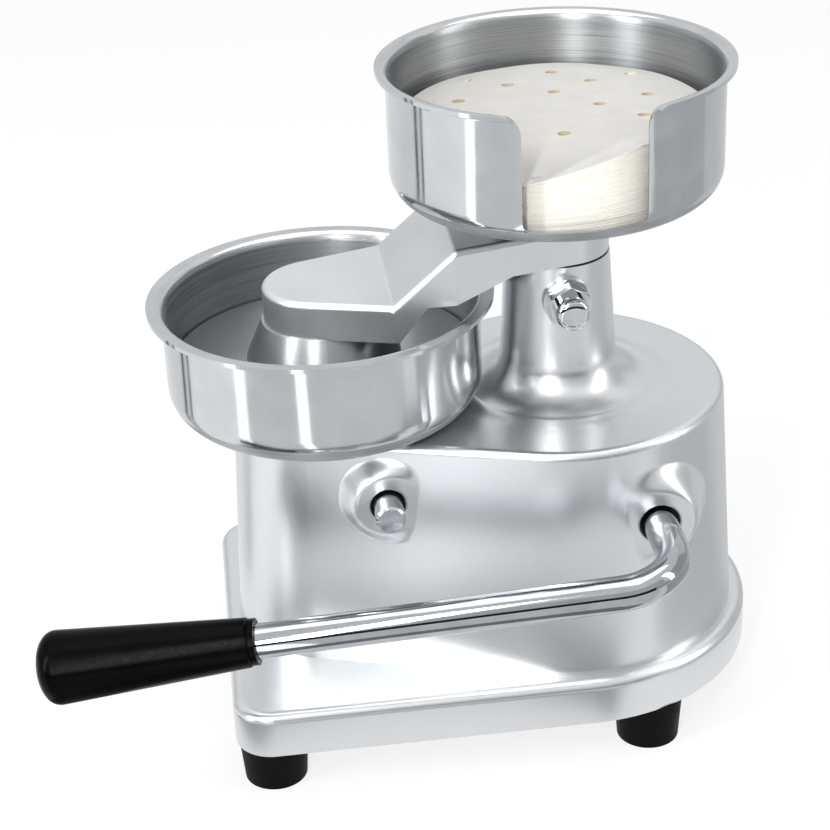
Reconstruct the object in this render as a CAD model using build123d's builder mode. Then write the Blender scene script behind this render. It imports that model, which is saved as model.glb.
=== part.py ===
from build123d import *
import os
from math import acos, atan2, cos, degrees, hypot, pi, radians, sin, tan

# Burger press. A cast body stands on four feet and carries a fixed mould bowl in front and a bored
# column behind. A ram slides in the column and carries the arm: the press plate hangs from the arm's
# front end, and the bowl of paper discs stands over the ram. Raising the handle turns a pinion that
# lifts the ram, and a connecting rod turns a second pinion that lifts the ejector in the mould.
# Millimetres, +Z up. The front, where the mould is, faces -Y, and the handle is on the +X side.

os.makedirs("parts", exist_ok=True)

# Place of the column's axis, so that the origin lies on the floor under the middle of the whole press
column_x = -20.138
column_y = 75.024
bowl_spacing = 103.5

# Fits
running_gap = 0.05
seat_gap = 0.05
loose_gap = 0.3
screw_end_gap = 1.0
cut_past = 1.0

# Feet and base flange
foot_height = 22.0
foot_radius = 15.4
foot_sole_radius = 13.8
front_foot_x = 66.0
front_foot_back = 16.5
rear_foot_x = 65.0
rear_foot_y = 28.0
foot_boss_radius = 12.5
foot_screw_radius = 3.0
foot_screw_head_radius = 5.5
foot_screw_head_height = 3.5
foot_screw_head_room = 0.5
foot_recess = 10.0
flange_radius = 85.5
flange_front = 157.0
flange_corner_radius = 17.0
flange_height = 21.0
flange_edge_radius = 4.5
flange_wall = 6.0
foot_boss_step = 1.0
foot_boss_roof = 4.0

# Body and column
body_height = 107.0
body_rear_radius = 73.2
body_nose_radius = 41.3
body_draft = 3.0
body_wall = 5.0
body_edge_radius = 3.5
column_height = 62.5
column_top_radius = 22.8
column_draft = 3.2
column_flare = 17.0
column_rim_radius = 43.2
column_rim_height = 0.8
column_rim_edge = 0.4
column_spigot_wall = 6.0
column_spigot_depth = 11.0

# Bowls
rim_radius = 75.0
bowl_wall = 1.8
mould_radius = 68.9
mould_depth = 50.8
mould_corner = 14.0
paper_bowl_radius = 70.8
paper_bowl_depth = 56.2
paper_bowl_corner = 11.6
lip_curve = 2.4
slot_width = 50.6
slot_sill = 7.0
slot_corner = 4.0
slot_flare = 9.0
paper_radius = 64.0
paper_height = 30.0
mould_screw_circle = 28.0
mould_screw_radius = 2.5
mould_screw_head = 5.0
mould_screw_head_height = 1.4
mould_screw_start = 30.0
mould_screw_end = 3.0

# Arm, heights above the mould bowl's rim and lengths back from the mould's axis
arm_nose_radius = 25.0
arm_tail_radius = 22.5
arm_half_width = 35.0
arm_pad_rise = 5.8
arm_pad_thickness = 16.4
arm_rise = 22.7
arm_crease_back = 28.5
arm_shoulder_back = 55.0
arm_tail_thickness = 15.6
arm_shoulder_thickness = 24.2
arm_web_front = 12.0
arm_pad_back = 2.0
arm_tail_front = 1.0
arm_edge_radius = 2.5

# Press plate, hub and their screw
plate_gap = 1.1
plate_thickness = 6.0
plate_edge_radius = 2.0
hub_height = 17.9
hub_top_radius = 26.0
hub_foot_radius = 32.5
hub_foot_flare = 1.2
hub_foot_rise = 3.5
plate_screw_radius = 5.0
plate_screw_reach = 11.0

# Ram, its groove and the guide pin
ram_radius = 14.0
ram_spigot_radius = 11.0
ram_spigot_height = 11.0
ram_screw_radius = 4.0
ram_screw_reach = 16.0
ram_screw_head_radius = 6.8
ram_screw_head_height = 6.4
ram_screw_head_room = 2.0
column_clear = 0.9
bush_wall = 2.5
bush_length = 26.0
guide_pin_drop = 14.5
guide_pin_radius = 4.0
guide_thread_radius = 5.0
groove_depth = 4.0
groove_gap = 0.2
swing_turn = 90.0
swing_rise = 19.0
lock_nut_flats = 17.0
lock_nut_thickness = 7.5
guide_pad_reach = 26.2
guide_pad_radius = 10.5
dome_radius = 7.3
dome_reach = 8.0

# Spacer and paper bowl screws
spacer_radius = 26.0
spacer_height = 11.5
bowl_screw_circle = 18.5
bowl_screw_radius = 2.5
bowl_screw_head = 5.0
bowl_screw_head_height = 1.6
bowl_screw_reach = 10.6

# Shafts, pinions and racks
handle_travel = 100.0
tooth_module = 2.0
pressure_angle = 20.0
addendum = 1.5
dedendum = 1.9
tooth_play = 0.2
ram_spare_rings = 3
stem_spare_rings = 2.5
rear_shaft_radius = 7.4
rear_shaft_y = 30.5
rear_shaft_drop = 37.2
lift_teeth = 22
front_shaft_radius = 6.3
front_shaft_back = 20.0
front_shaft_drop = 26.0
eject_teeth = 13
pinion_width = 14.0
pinion_hub_length = 8.0
pinion_hub_wall = 4.5
shaft_bush_wall = 2.5
shaft_bush_length = 10.0
bearing_wall = 4.0
bearing_boss_length = 14.0
bearing_boss_wall = 3.5
shaft_hole_gap = 1.3
shaft_end_gap = 1.0
rear_boss_reach = 72.5
front_boss_reach = 54.6
front_shaft_stub = 13.6
front_shaft_chamfer = 0.8
collar_length = 8.0
collar_wall = 4.0
roll_pin_radius = 1.8

# Cranks and connecting rod
crank_radius = 24.0
crank_thickness = 6.0
crank_inset = 16.0
crank_eye_radius = 9.0
crank_pin_radius = 4.0
crank_pin_head = 1.5
crank_pin_head_step = 2.0
crank_pin_side_gap = 0.5
rod_thickness = 5.0
rod_height = 11.0
rod_side_gap = 1.5

# Ejector
ejector_bush_wall = 2.5
ejector_bush_length = 11.0
ejector_plate_thickness = 3.0
ejector_plate_radius = 61.0
ejector_plate_bevel = 4.8
ejector_recess_room = 2.0
ejector_lift_gap = 0.3
ejector_screw_radius = 3.0
ejector_screw_head = 5.1
ejector_screw_reach = 14.0

# Handle rod and grip
handle_corner_x = 122.0
handle_lean = 8.1
handle_droop = 7.35
handle_bend = 24.0
grip_start = 177.5
grip_length = 92.5
grip_small_radius = 10.4
grip_large_radius = 16.2
grip_bore_depth = 70.0
grip_collar_length = 2.5
grip_collar_step = 0.6
grip_edge = 1.0

# Heights and places that follow
flange_z = foot_height
flange_top = flange_z + flange_height
body_top = flange_top + body_height
column_top = body_top + column_height
rear_shaft_z = body_top - rear_shaft_drop
front_shaft_z = body_top - front_shaft_drop
mould_y = column_y - bowl_spacing
mould_rim = body_top + mould_depth
mould_floor = body_top + bowl_wall
arm_pad_top = mould_rim + arm_pad_rise
arm_pad_low = arm_pad_top - arm_pad_thickness
arm_top = arm_pad_top + arm_rise
arm_tail_low = column_top + column_clear
plate_low = arm_pad_low - hub_height - plate_thickness
spacer_top = arm_top + spacer_height
paper_rim = spacer_top + paper_bowl_depth
paper_floor = spacer_top + bowl_wall
front_shaft_y = front_shaft_back - bowl_spacing
travel = radians(handle_travel)
lift_pitch = tooth_module * lift_teeth / 2
eject_pitch = tooth_module * eject_teeth / 2
head_travel = lift_pitch * travel
eject_travel = eject_pitch * travel
pitch_step = pi * tooth_module
ring_radius = rear_shaft_y - lift_pitch + addendum
stem_radius = front_shaft_back - eject_pitch + addendum
guide_z = column_top - guide_pin_drop
column_spigot_radius = ram_radius + bush_wall + column_spigot_wall


def level(z, y=0.0, x=0.0):
    """Horizontal plane at a height, placed from the column's axis."""
    return Plane((column_x + x, column_y + y, z))


def side(x):
    """Upright plane facing +X: its own x runs back along +Y from the column's axis, its y is height."""
    return Plane(origin=(column_x + x, column_y, 0), x_dir=(0, 1, 0), z_dir=(1, 0, 0))


def section(y=0.0):
    """Upright plane through a vertical axis, for profiles that are turned about it."""
    return Plane(origin=(column_x, column_y + y, 0), x_dir=(1, 0, 0), z_dir=(0, -1, 0))


def upright(y=0.0):
    """Vertical axis at a distance behind the column's axis."""
    return Axis((column_x, column_y + y, 0), (0, 0, 1))


def finish(part, name):
    """Label one finished piece and write it."""
    part.label = name
    export_step(part, f"parts/{name}.step")


def drum_outline(inset, z):
    """Plan of the drafted body at a height: a large round about the column, a small one about the mould."""
    grow = (body_top - z) * tan(radians(body_draft)) - inset
    Circle(body_rear_radius + grow)
    with Locations((0, -bowl_spacing)):
        Circle(body_nose_radius + grow)
    make_hull()


def flange_outline(inset=0.0):
    """Plan of the base flange: round behind, straight sides, rounded corners in front."""
    Circle(flange_radius - inset)
    corner = flange_corner_radius
    with Locations(*[(sx * (flange_radius - corner), corner - flange_front) for sx in (-1, 1)]):
        Circle(corner - inset)
    make_hull()


foot_places = [(sx * front_foot_x, front_foot_back - flange_front) for sx in (-1, 1)]
foot_places += [(sx * rear_foot_x, rear_foot_y) for sx in (-1, 1)]
bearings = [
    (rear_shaft_y, rear_shaft_z, rear_shaft_radius, rear_boss_reach),
    (front_shaft_y, front_shaft_z, front_shaft_radius, front_boss_reach),
]

# Housing: flange and drafted body in one casting, open underneath, with the column's seat in its top
with BuildPart() as housing:
    with BuildSketch(level(flange_z)):
        flange_outline()
    extrude(amount=flange_height)
    fillet(housing.faces().sort_by(Axis.Z)[-1].edges(), flange_edge_radius)
    for z in (flange_top, body_top):
        with BuildSketch(level(z)):
            drum_outline(0, z)
    loft(ruled=True)
    fillet(housing.faces().sort_by(Axis.Z)[-1].edges(), body_edge_radius)
    # Hollow of the body and of the flange
    for z in (flange_z, body_top - body_wall):
        with BuildSketch(level(z)):
            drum_outline(body_wall, z)
    loft(ruled=True, mode=Mode.SUBTRACT)
    with BuildSketch(level(flange_z)):
        flange_outline(flange_wall)
    extrude(amount=flange_height - flange_wall, mode=Mode.SUBTRACT)
    # Foot bosses
    with BuildSketch(level(flange_z)):
        with Locations(*foot_places):
            Circle(foot_boss_radius)
    extrude(amount=flange_height - foot_boss_step)
    # Bearing bosses inside the side walls and the low rings outside them
    for shaft_y, shaft_z, shaft_radius, reach in bearings:
        boss_radius = shaft_radius + shaft_bush_wall + bearing_boss_wall
        for hand in (-1, 1):
            with BuildSketch(side(hand * (reach - bearing_wall - bearing_boss_length))):
                with Locations((shaft_y, shaft_z)):
                    Circle(boss_radius)
            extrude(amount=hand * (bearing_boss_length + bearing_wall))
    # Seat of the column's spigot
    with BuildSketch(level(body_top)):
        Circle(column_spigot_radius + seat_gap)
    extrude(amount=-body_wall - cut_past, mode=Mode.SUBTRACT)
    # Shaft holes: a clear hole through the wall and a wider seat for the bush inside it
    for shaft_y, shaft_z, shaft_radius, reach in bearings:
        for hand in (-1, 1):
            if hand > 0:
                with BuildSketch(side(reach)):
                    with Locations((shaft_y, shaft_z)):
                        Circle(shaft_radius + shaft_hole_gap)
                extrude(amount=-bearing_wall - cut_past, mode=Mode.SUBTRACT)
            with BuildSketch(side(hand * (reach - bearing_wall))):
                with Locations((shaft_y, shaft_z)):
                    Circle(shaft_radius + shaft_bush_wall + seat_gap)
            extrude(amount=-hand * (bearing_boss_length + cut_past), mode=Mode.SUBTRACT)
    # Holes for the ejector stem's bush, the mould screws and the foot screws
    with BuildSketch(level(body_top, -bowl_spacing)):
        Circle(stem_radius + ejector_bush_wall + seat_gap)
        with PolarLocations(mould_screw_circle, 3, start_angle=mould_screw_start):
            Circle(mould_screw_radius + seat_gap)
    extrude(amount=-body_wall - cut_past, mode=Mode.SUBTRACT)
    with BuildSketch(level(flange_z)):
        with Locations(*foot_places):
            Circle(foot_screw_radius + seat_gap)
    extrude(amount=flange_height - foot_boss_roof, mode=Mode.SUBTRACT)
finish(housing.part, "housing")

# Column: a cast post whose flared foot ends in a low rim on the body's top and whose spigot goes down
# through it. It is bored for the ram's bushes, with a pad on the handle's side for the guide pin.
with BuildPart() as column:
    with BuildSketch(section()):
        with BuildLine():
            foot_radius_of_column = column_top_radius + column_height * tan(radians(column_draft))
            rim_top = body_top + column_rim_height
            spigot_low = body_top - column_spigot_depth
            FilletPolyline(
                (column_top_radius, column_top),
                (foot_radius_of_column, rim_top),
                (column_rim_radius, rim_top),
                (column_rim_radius, body_top),
                radius=[column_flare, column_rim_edge],
            )
            Polyline(
                (column_rim_radius, body_top),
                (column_spigot_radius, body_top),
                (column_spigot_radius, spigot_low),
                (0, spigot_low),
                (0, column_top),
                (column_top_radius, column_top),
            )
        make_face()
    revolve(axis=upright())
    with BuildSketch(side(0)):
        with Locations((0, guide_z)):
            Circle(guide_pad_radius)
    extrude(amount=guide_pad_reach)
    with BuildSketch(level(spigot_low)):
        Circle(ram_radius + bush_wall + seat_gap)
    extrude(amount=column_top - spigot_low, mode=Mode.SUBTRACT)
    with BuildSketch(side(0)):
        with Locations((0, guide_z)):
            Circle(guide_thread_radius + seat_gap)
    extrude(amount=guide_pad_reach + cut_past, mode=Mode.SUBTRACT)
finish(column.part, "column")

# Rubber feet, tapered, each with a hole and a recess for its screw
with BuildPart() as rubber_feet:
    for place in foot_places:
        with Locations((column_x + place[0], column_y + place[1], foot_height / 2)):
            Cone(foot_sole_radius, foot_radius, foot_height)
            Hole(foot_screw_radius + seat_gap)
            with Locations((0, 0, -foot_height / 2 + foot_recess / 2)):
                Cylinder(foot_screw_head_radius + foot_screw_head_room, foot_recess, mode=Mode.SUBTRACT)
finish(rubber_feet.part, "rubber_feet")

# Foot screws: pan heads up inside the feet, shanks in the flange's bosses
with BuildPart() as foot_screws:
    with BuildSketch(level(foot_recess)):
        with Locations(*foot_places):
            Circle(foot_screw_head_radius)
    extrude(amount=-foot_screw_head_height)
    with BuildSketch(level(foot_recess)):
        with Locations(*foot_places):
            Circle(foot_screw_radius)
    extrude(amount=foot_height - foot_recess + flange_height - foot_boss_roof - screw_end_gap)
finish(foot_screws.part, "foot_screws")


def bowl_section(low, rim, wall_radius, corner):
    """Half section of a pressed bowl: flat floor, round corner, straight wall and a turned-out lip."""
    outer = [(0, low), (wall_radius, low), (wall_radius, rim - bowl_wall), (rim_radius, rim - bowl_wall)]
    inner_radius = wall_radius - bowl_wall
    inner = [(rim_radius, rim), (inner_radius, rim), (inner_radius, low + bowl_wall), (0, low + bowl_wall)]
    FilletPolyline(*outer, radius=[corner, lip_curve])
    Line(outer[-1], inner[0])
    FilletPolyline(*inner, radius=[lip_curve + bowl_wall, corner - bowl_wall])
    Line(inner[-1], outer[0])


# Mould bowl, fixed on the body's top by three screws round the ejector's hole
with BuildPart() as mould_bowl:
    with BuildSketch(section(-bowl_spacing)):
        with BuildLine():
            bowl_section(body_top, mould_rim, mould_radius, mould_corner)
        make_face()
    revolve(axis=upright(-bowl_spacing))
    with BuildSketch(level(mould_floor, -bowl_spacing)):
        Circle(stem_radius + ejector_bush_wall + seat_gap)
        with PolarLocations(mould_screw_circle, 3, start_angle=mould_screw_start):
            Circle(mould_screw_radius + seat_gap)
    extrude(amount=-bowl_wall, mode=Mode.SUBTRACT)
finish(mould_bowl.part, "mould_bowl")

# Mould screws, with thin flat heads that the ejector plate clears
with BuildPart() as mould_screws:
    with BuildSketch(level(mould_floor, -bowl_spacing)):
        with PolarLocations(mould_screw_circle, 3, start_angle=mould_screw_start):
            Circle(mould_screw_radius)
    extrude(amount=-bowl_wall - body_wall - mould_screw_end)
    with BuildSketch(level(mould_floor, -bowl_spacing)):
        with PolarLocations(mould_screw_circle, 3, start_angle=mould_screw_start):
            Circle(mould_screw_head)
    extrude(amount=mould_screw_head_height)
finish(mould_screws.part, "mould_screws")

# Column bushes, the upper one drilled across for the guide pin
with BuildPart() as upper_bush:
    with BuildSketch(level(column_top)):
        Circle(ram_radius + bush_wall)
        Circle(ram_radius + running_gap, mode=Mode.SUBTRACT)
    extrude(amount=-bush_length)
    with BuildSketch(side(0)):
        with Locations((0, guide_z)):
            Circle(guide_thread_radius + seat_gap)
    extrude(amount=ram_radius + bush_wall + cut_past, mode=Mode.SUBTRACT)
finish(upper_bush.part, "upper_bush")
with BuildPart() as lower_bush:
    with BuildSketch(level(spigot_low)):
        Circle(ram_radius + bush_wall)
        Circle(ram_radius + running_gap, mode=Mode.SUBTRACT)
    extrude(amount=bush_length)
finish(lower_bush.part, "lower_bush")

# Guide pin through the column wall, its tip in the ram's groove, with its lock nut and dome nut
with BuildPart() as guide_pin:
    with BuildSketch(side(ram_radius - groove_depth + groove_gap * 2)):
        with Locations((0, guide_z)):
            Circle(guide_pin_radius)
    extrude(amount=groove_depth + bush_wall - groove_gap)
    with BuildSketch(side(ram_radius + groove_gap)):
        with Locations((0, guide_z)):
            Circle(guide_thread_radius)
    extrude(amount=guide_pad_reach + lock_nut_thickness + dome_reach / 2 - ram_radius - groove_gap)
finish(guide_pin.part, "guide_pin")
with BuildPart() as lock_nut:
    with BuildSketch(side(guide_pad_reach)):
        with Locations((0, guide_z)):
            RegularPolygon(lock_nut_flats / 2, 6, major_radius=False, rotation=30)
            Circle(guide_thread_radius + seat_gap, mode=Mode.SUBTRACT)
    extrude(amount=lock_nut_thickness)
    with BuildSketch(side(guide_pad_reach)):
        with Locations((0, guide_z)):
            Circle(lock_nut_flats / 2)
    extrude(amount=lock_nut_thickness + cut_past, taper=-45, mode=Mode.INTERSECT)
finish(lock_nut.part, "lock_nut")
with BuildPart() as dome_nut:
    with BuildSketch(Plane(origin=(column_x, column_y, guide_z), x_dir=(1, 0, 0), z_dir=(0, -1, 0))):
        with BuildLine():
            base = guide_pad_reach + lock_nut_thickness
            inner = (base, guide_thread_radius + seat_gap)
            shoulder = (base + dome_reach - dome_radius / 2, dome_radius)
            tip = (base + dome_reach, 0)
            Polyline(shoulder, (base, dome_radius), inner, (base + dome_reach / 2 + 0.2, inner[1]))
            Polyline((base + dome_reach / 2 + 0.2, inner[1]), (base + dome_reach / 2 + 0.2, 0), tip)
            Bezier(shoulder, (shoulder[0] + dome_radius / 2, dome_radius), (tip[0], dome_radius / 2), tip)
        make_face()
    revolve(axis=Axis((column_x, column_y, guide_z), (1, 0, 0)))
finish(dome_nut.part, "dome_nut")


def ring_rack(tip, low, high, phase_z):
    """Outline points, from low to high, of a bar turned with rings that a pinion's teeth fit between."""
    root = tip - addendum - dedendum
    slope = tan(radians(pressure_angle))
    at_pitch = pitch_step / 4 - tooth_play / 4
    at_tip = at_pitch - addendum * slope
    at_root = at_pitch + dedendum * slope
    first = -int((phase_z - low - at_root) / pitch_step)
    last = int((high - phase_z - at_root) / pitch_step)
    points = [(tip, low)]
    for index in range(first, last + 1):
        z = phase_z + index * pitch_step
        if index > first:
            points += [(root, z - at_root), (tip, z - at_tip)]
        if index < last:
            points += [(tip, z + at_tip), (root, z + at_root)]
    points += [(tip, high)]
    return points


def pinion_teeth(teeth, space_angle):
    """Sketch of a pinion with one tooth space pointing at an angle, in degrees, about the local centre."""
    pitch_radius = tooth_module * teeth / 2
    base_radius = pitch_radius * cos(radians(pressure_angle))
    root_radius = pitch_radius - dedendum
    pitch_half = pi / (2 * teeth) - tooth_play / (4 * pitch_radius)
    pitch_roll = tan(radians(pressure_angle)) - radians(pressure_angle)
    flank = []
    for step in range(5):
        radius = root_radius - 0.3 + step * (addendum + dedendum + 0.3) / 4
        angle = acos(min(1, base_radius / radius))
        half = pitch_half + pitch_roll - (tan(angle) - angle)
        flank.append((radius, half))
    points = [(r * cos(a), r * sin(a)) for r, a in flank]
    points += [(r * cos(a), -r * sin(a)) for r, a in reversed(flank)]
    with BuildSketch() as tooth:
        with BuildLine():
            Polyline(*points, close=True)
        make_face()
    with BuildSketch(mode=Mode.PRIVATE) as wheel:
        Circle(root_radius)
        with PolarLocations(0, teeth, start_angle=space_angle + 180 / teeth):
            add(tooth.sketch)
    return wheel.sketch


# Ram: plain above, turned with rings below, a shoulder and a spigot on top for the arm. Its groove is
# straight while the arm rises, then winds a quarter turn so that the arm swings round.
ram_low = rear_shaft_z - head_travel - ram_spare_rings * pitch_step
with BuildPart() as ram:
    rings = ring_rack(ring_radius, ram_low, rear_shaft_z + ram_spare_rings * pitch_step, rear_shaft_z)
    with BuildSketch(section()):
        with BuildLine():
            points = [(0, ram_low)] + rings
            points += [(ram_radius, points[-1][1] + ram_radius - ring_radius)]
            points += [(ram_radius, arm_tail_low), (ram_spigot_radius, arm_tail_low)]
            points += [(ram_spigot_radius, arm_tail_low + ram_spigot_height)]
            points += [(0, arm_tail_low + ram_spigot_height)]
            Polyline(*points, close=True)
        make_face()
    revolve(axis=upright())
    with BuildSketch(level(arm_tail_low + ram_spigot_height)):
        Circle(ram_screw_radius + seat_gap)
    extrude(amount=-ram_screw_reach + arm_tail_thickness - ram_spigot_height, mode=Mode.SUBTRACT)
    # Straight run of the groove, open to the side, with a round top end
    groove_half = guide_pin_radius + groove_gap
    with BuildSketch(side(ram_radius - groove_depth)):
        with Locations((0, guide_z - head_travel / 2)):
            SlotCenterToCenter(head_travel, 2 * groove_half, rotation=90)
    extrude(amount=groove_depth + cut_past, mode=Mode.SUBTRACT)
    # Winding run: a square cutter swept along a quarter turn of helix, up to the straight run's foot
    with BuildLine() as winding_path:
        winding = Helix(
            pitch=swing_rise * 360 / swing_turn,
            height=swing_rise,
            radius=ram_radius - groove_depth / 2 + 0.5,
            center=(column_x, column_y, guide_z - head_travel - swing_rise),
            lefthand=True,
            mode=Mode.PRIVATE,
        )
        add(winding.rotate(upright(), swing_turn))
    start = winding_path.line @ 0
    outward = (start.X - column_x, start.Y - column_y, 0)
    with BuildSketch(Plane(origin=start, x_dir=outward, z_dir=winding_path.line % 0)):
        Rectangle(groove_depth + cut_past, 2 * groove_half)
    sweep(path=winding_path.line, is_frenet=True, mode=Mode.SUBTRACT)
finish(ram.part, "ram")

# Arm: its side profile cut to its plan, with a blind socket for the ram and the plate screw's hole
pad_y = -bowl_spacing
crease_y = pad_y + arm_crease_back
shoulder_y = pad_y + arm_shoulder_back
with BuildPart() as arm:
    with BuildSketch(side(-arm_half_width - cut_past)):
        with BuildLine():
            Polyline(
                (pad_y - arm_nose_radius, arm_pad_low),
                (crease_y + arm_pad_back, arm_pad_low),
                (shoulder_y - arm_web_front, arm_top - arm_shoulder_thickness),
                (shoulder_y, arm_top - arm_shoulder_thickness),
                (-column_top_radius - arm_tail_front, arm_tail_low),
                (arm_tail_radius, arm_tail_low),
                (arm_tail_radius, arm_top),
                (shoulder_y, arm_top),
                (crease_y, arm_pad_top),
                (pad_y - arm_nose_radius, arm_pad_top),
                close=True,
            )
        make_face()
    extrude(amount=2 * arm_half_width + 2 * cut_past)
    with BuildSketch(level(arm_pad_low)):
        with Locations((0, pad_y)):
            Circle(arm_nose_radius)
        Circle(arm_tail_radius)
        with Locations((0, (crease_y + shoulder_y) / 2)):
            Rectangle(2 * arm_half_width, shoulder_y - crease_y)
        make_hull()
    extrude(amount=arm_top - arm_pad_low, mode=Mode.INTERSECT)
    fillet(arm.faces().filter_by(lambda face: face.normal_at().Z > 0.5).edges(), arm_edge_radius)
    with BuildSketch(level(arm_tail_low)):
        Circle(ram_spigot_radius + seat_gap)
    extrude(amount=ram_spigot_height + seat_gap, mode=Mode.SUBTRACT)
    with BuildSketch(level(arm_top)):
        Circle(ram_screw_radius + seat_gap)
    extrude(amount=-arm_tail_thickness, mode=Mode.SUBTRACT)
    with BuildSketch(level(arm_top)):
        with PolarLocations(bowl_screw_circle, 3, start_angle=90):
            Circle(bowl_screw_radius + seat_gap)
    extrude(amount=-bowl_screw_reach - screw_end_gap, mode=Mode.SUBTRACT)
    with BuildSketch(level(arm_pad_low, pad_y)):
        Circle(plate_screw_radius + seat_gap)
    extrude(amount=plate_screw_reach + screw_end_gap, mode=Mode.SUBTRACT)
finish(arm.part, "arm")

# Ram screw, down through the arm's tail into the ram, its head inside the spacer
with BuildPart() as ram_screw:
    with BuildSketch(level(arm_top)):
        Circle(ram_screw_radius)
    extrude(amount=-ram_screw_reach)
    with BuildSketch(level(arm_top)):
        Circle(ram_screw_head_radius)
    extrude(amount=ram_screw_head_height)
finish(ram_screw.part, "ram_screw")

# Press plate with its rounded foot, the hub that widens down to it, and the countersunk screw
with BuildPart() as press_plate:
    with BuildSketch(level(plate_low, pad_y)):
        Circle(mould_radius - bowl_wall - plate_gap)
    extrude(amount=plate_thickness)
    fillet(press_plate.faces().sort_by(Axis.Z)[0].edges(), plate_edge_radius)
    with Locations((column_x, column_y + pad_y, plate_low)):
        with Locations(Rotation(180, 0, 0)):
            CounterSinkHole(plate_screw_radius + seat_gap, plate_screw_radius * 2 + seat_gap)
finish(press_plate.part, "press_plate")
with BuildPart() as plate_hub:
    with BuildSketch(section(pad_y)):
        with BuildLine():
            hub_low = plate_low + plate_thickness
            bore = plate_screw_radius + seat_gap
            hub_foot = (hub_foot_radius + hub_foot_flare, hub_low)
            hub_waist = (hub_foot_radius, hub_low + hub_foot_rise)
            Line((bore, hub_low), hub_foot)
            Spline(hub_foot, hub_waist, tangents=[(-0.2, 1), (-0.45, 1)])
            Polyline(hub_waist, (hub_top_radius, arm_pad_low), (bore, arm_pad_low), (bore, hub_low))
        make_face()
    revolve(axis=upright(pad_y))
finish(plate_hub.part, "plate_hub")
with BuildPart() as plate_screw:
    with BuildSketch(section(pad_y)):
        with BuildLine():
            head = plate_screw_radius * 2
            Polyline(
                (0, plate_low),
                (head, plate_low),
                (plate_screw_radius, plate_low + head - plate_screw_radius),
                (plate_screw_radius, arm_pad_low + plate_screw_reach),
                (0, arm_pad_low + plate_screw_reach),
                close=True,
            )
        make_face()
    revolve(axis=upright(pad_y))
finish(plate_screw.part, "plate_screw")

# Spacer between the arm and the paper bowl, hollow over the ram screw's head
with BuildPart() as bowl_spacer:
    with BuildSketch(level(arm_top)):
        Circle(spacer_radius)
        Circle(ram_screw_head_radius + ram_screw_head_room, mode=Mode.SUBTRACT)
        with PolarLocations(bowl_screw_circle, 3, start_angle=90):
            Circle(bowl_screw_radius + seat_gap, mode=Mode.SUBTRACT)
    extrude(amount=spacer_height)
finish(bowl_spacer.part, "bowl_spacer")

# Paper bowl with the finger slot in its side, wider at the lip
with BuildPart() as paper_bowl:
    with BuildSketch(section()):
        with BuildLine():
            bowl_section(spacer_top, paper_rim, paper_bowl_radius, paper_bowl_corner)
        make_face()
    revolve(axis=upright())
    with BuildSketch(side(slot_width)):
        with BuildLine():
            half = slot_width / 2
            sill = spacer_top + slot_sill
            FilletPolyline(
                (-half - 2 * slot_flare, paper_rim),
                (-half, paper_rim),
                (-half, sill),
                (half, sill),
                (half, paper_rim),
                (half + 2 * slot_flare, paper_rim),
                radius=[slot_flare, slot_corner, slot_corner, slot_flare],
            )
            Polyline(
                (half + 2 * slot_flare, paper_rim),
                (half + 2 * slot_flare, paper_rim + cut_past),
                (-half - 2 * slot_flare, paper_rim + cut_past),
                (-half - 2 * slot_flare, paper_rim),
            )
        make_face()
    extrude(amount=rim_radius - slot_width + cut_past, mode=Mode.SUBTRACT)
    with BuildSketch(level(spacer_top)):
        with PolarLocations(bowl_screw_circle, 3, start_angle=90):
            Circle(bowl_screw_radius + seat_gap)
    extrude(amount=bowl_wall, mode=Mode.SUBTRACT)
finish(paper_bowl.part, "paper_bowl")

# Three low-headed screws through the bowl and the spacer into the arm
with BuildPart() as bowl_screws:
    with BuildSketch(level(paper_floor)):
        with PolarLocations(bowl_screw_circle, 3, start_angle=90):
            Circle(bowl_screw_radius)
    extrude(amount=-bowl_wall - spacer_height - bowl_screw_reach)
    with BuildSketch(level(paper_floor)):
        with PolarLocations(bowl_screw_circle, 3, start_angle=90):
            Circle(bowl_screw_head)
    extrude(amount=bowl_screw_head_height)
finish(bowl_screws.part, "bowl_screws")

# Stack of paper discs, loose in its bowl
with BuildPart() as paper_stack:
    with BuildSketch(level(paper_floor + bowl_screw_head_height)):
        Circle(paper_radius)
    extrude(amount=paper_height)
finish(paper_stack.part, "paper_stack")


def pin_hole(x, y, z, shaft_radius):
    """Cross hole for a roll pin, up through a hub and its shaft."""
    with BuildSketch(level(z, y, x)) as hole:
        Circle(roll_pin_radius + seat_gap)
    depth = shaft_radius + pinion_hub_wall + cut_past
    extrude(hole.sketch, amount=depth, both=True, mode=Mode.SUBTRACT)


def pinion_part(teeth, shaft_radius, y, z):
    """Pinion about a cross shaft, with a hub on its +X side; a tooth space faces the front."""
    half = pinion_width / 2
    bore = shaft_radius + seat_gap
    with BuildPart() as gear:
        with BuildSketch(side(-half)):
            with Locations((y, z)):
                add(pinion_teeth(teeth, 180))
                Circle(bore, mode=Mode.SUBTRACT)
        extrude(amount=pinion_width)
        with BuildSketch(side(half)):
            with Locations((y, z)):
                Circle(shaft_radius + pinion_hub_wall)
                Circle(bore, mode=Mode.SUBTRACT)
        extrude(amount=pinion_hub_length)
        pin_hole(half + pinion_hub_length / 2, y, z, shaft_radius)
    return gear.part


lift_pinion = pinion_part(lift_teeth, rear_shaft_radius, rear_shaft_y, rear_shaft_z)
finish(lift_pinion, "lift_pinion")
eject_pinion = pinion_part(eject_teeth, front_shaft_radius, front_shaft_y, front_shaft_z)
finish(eject_pinion, "eject_pinion")

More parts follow.
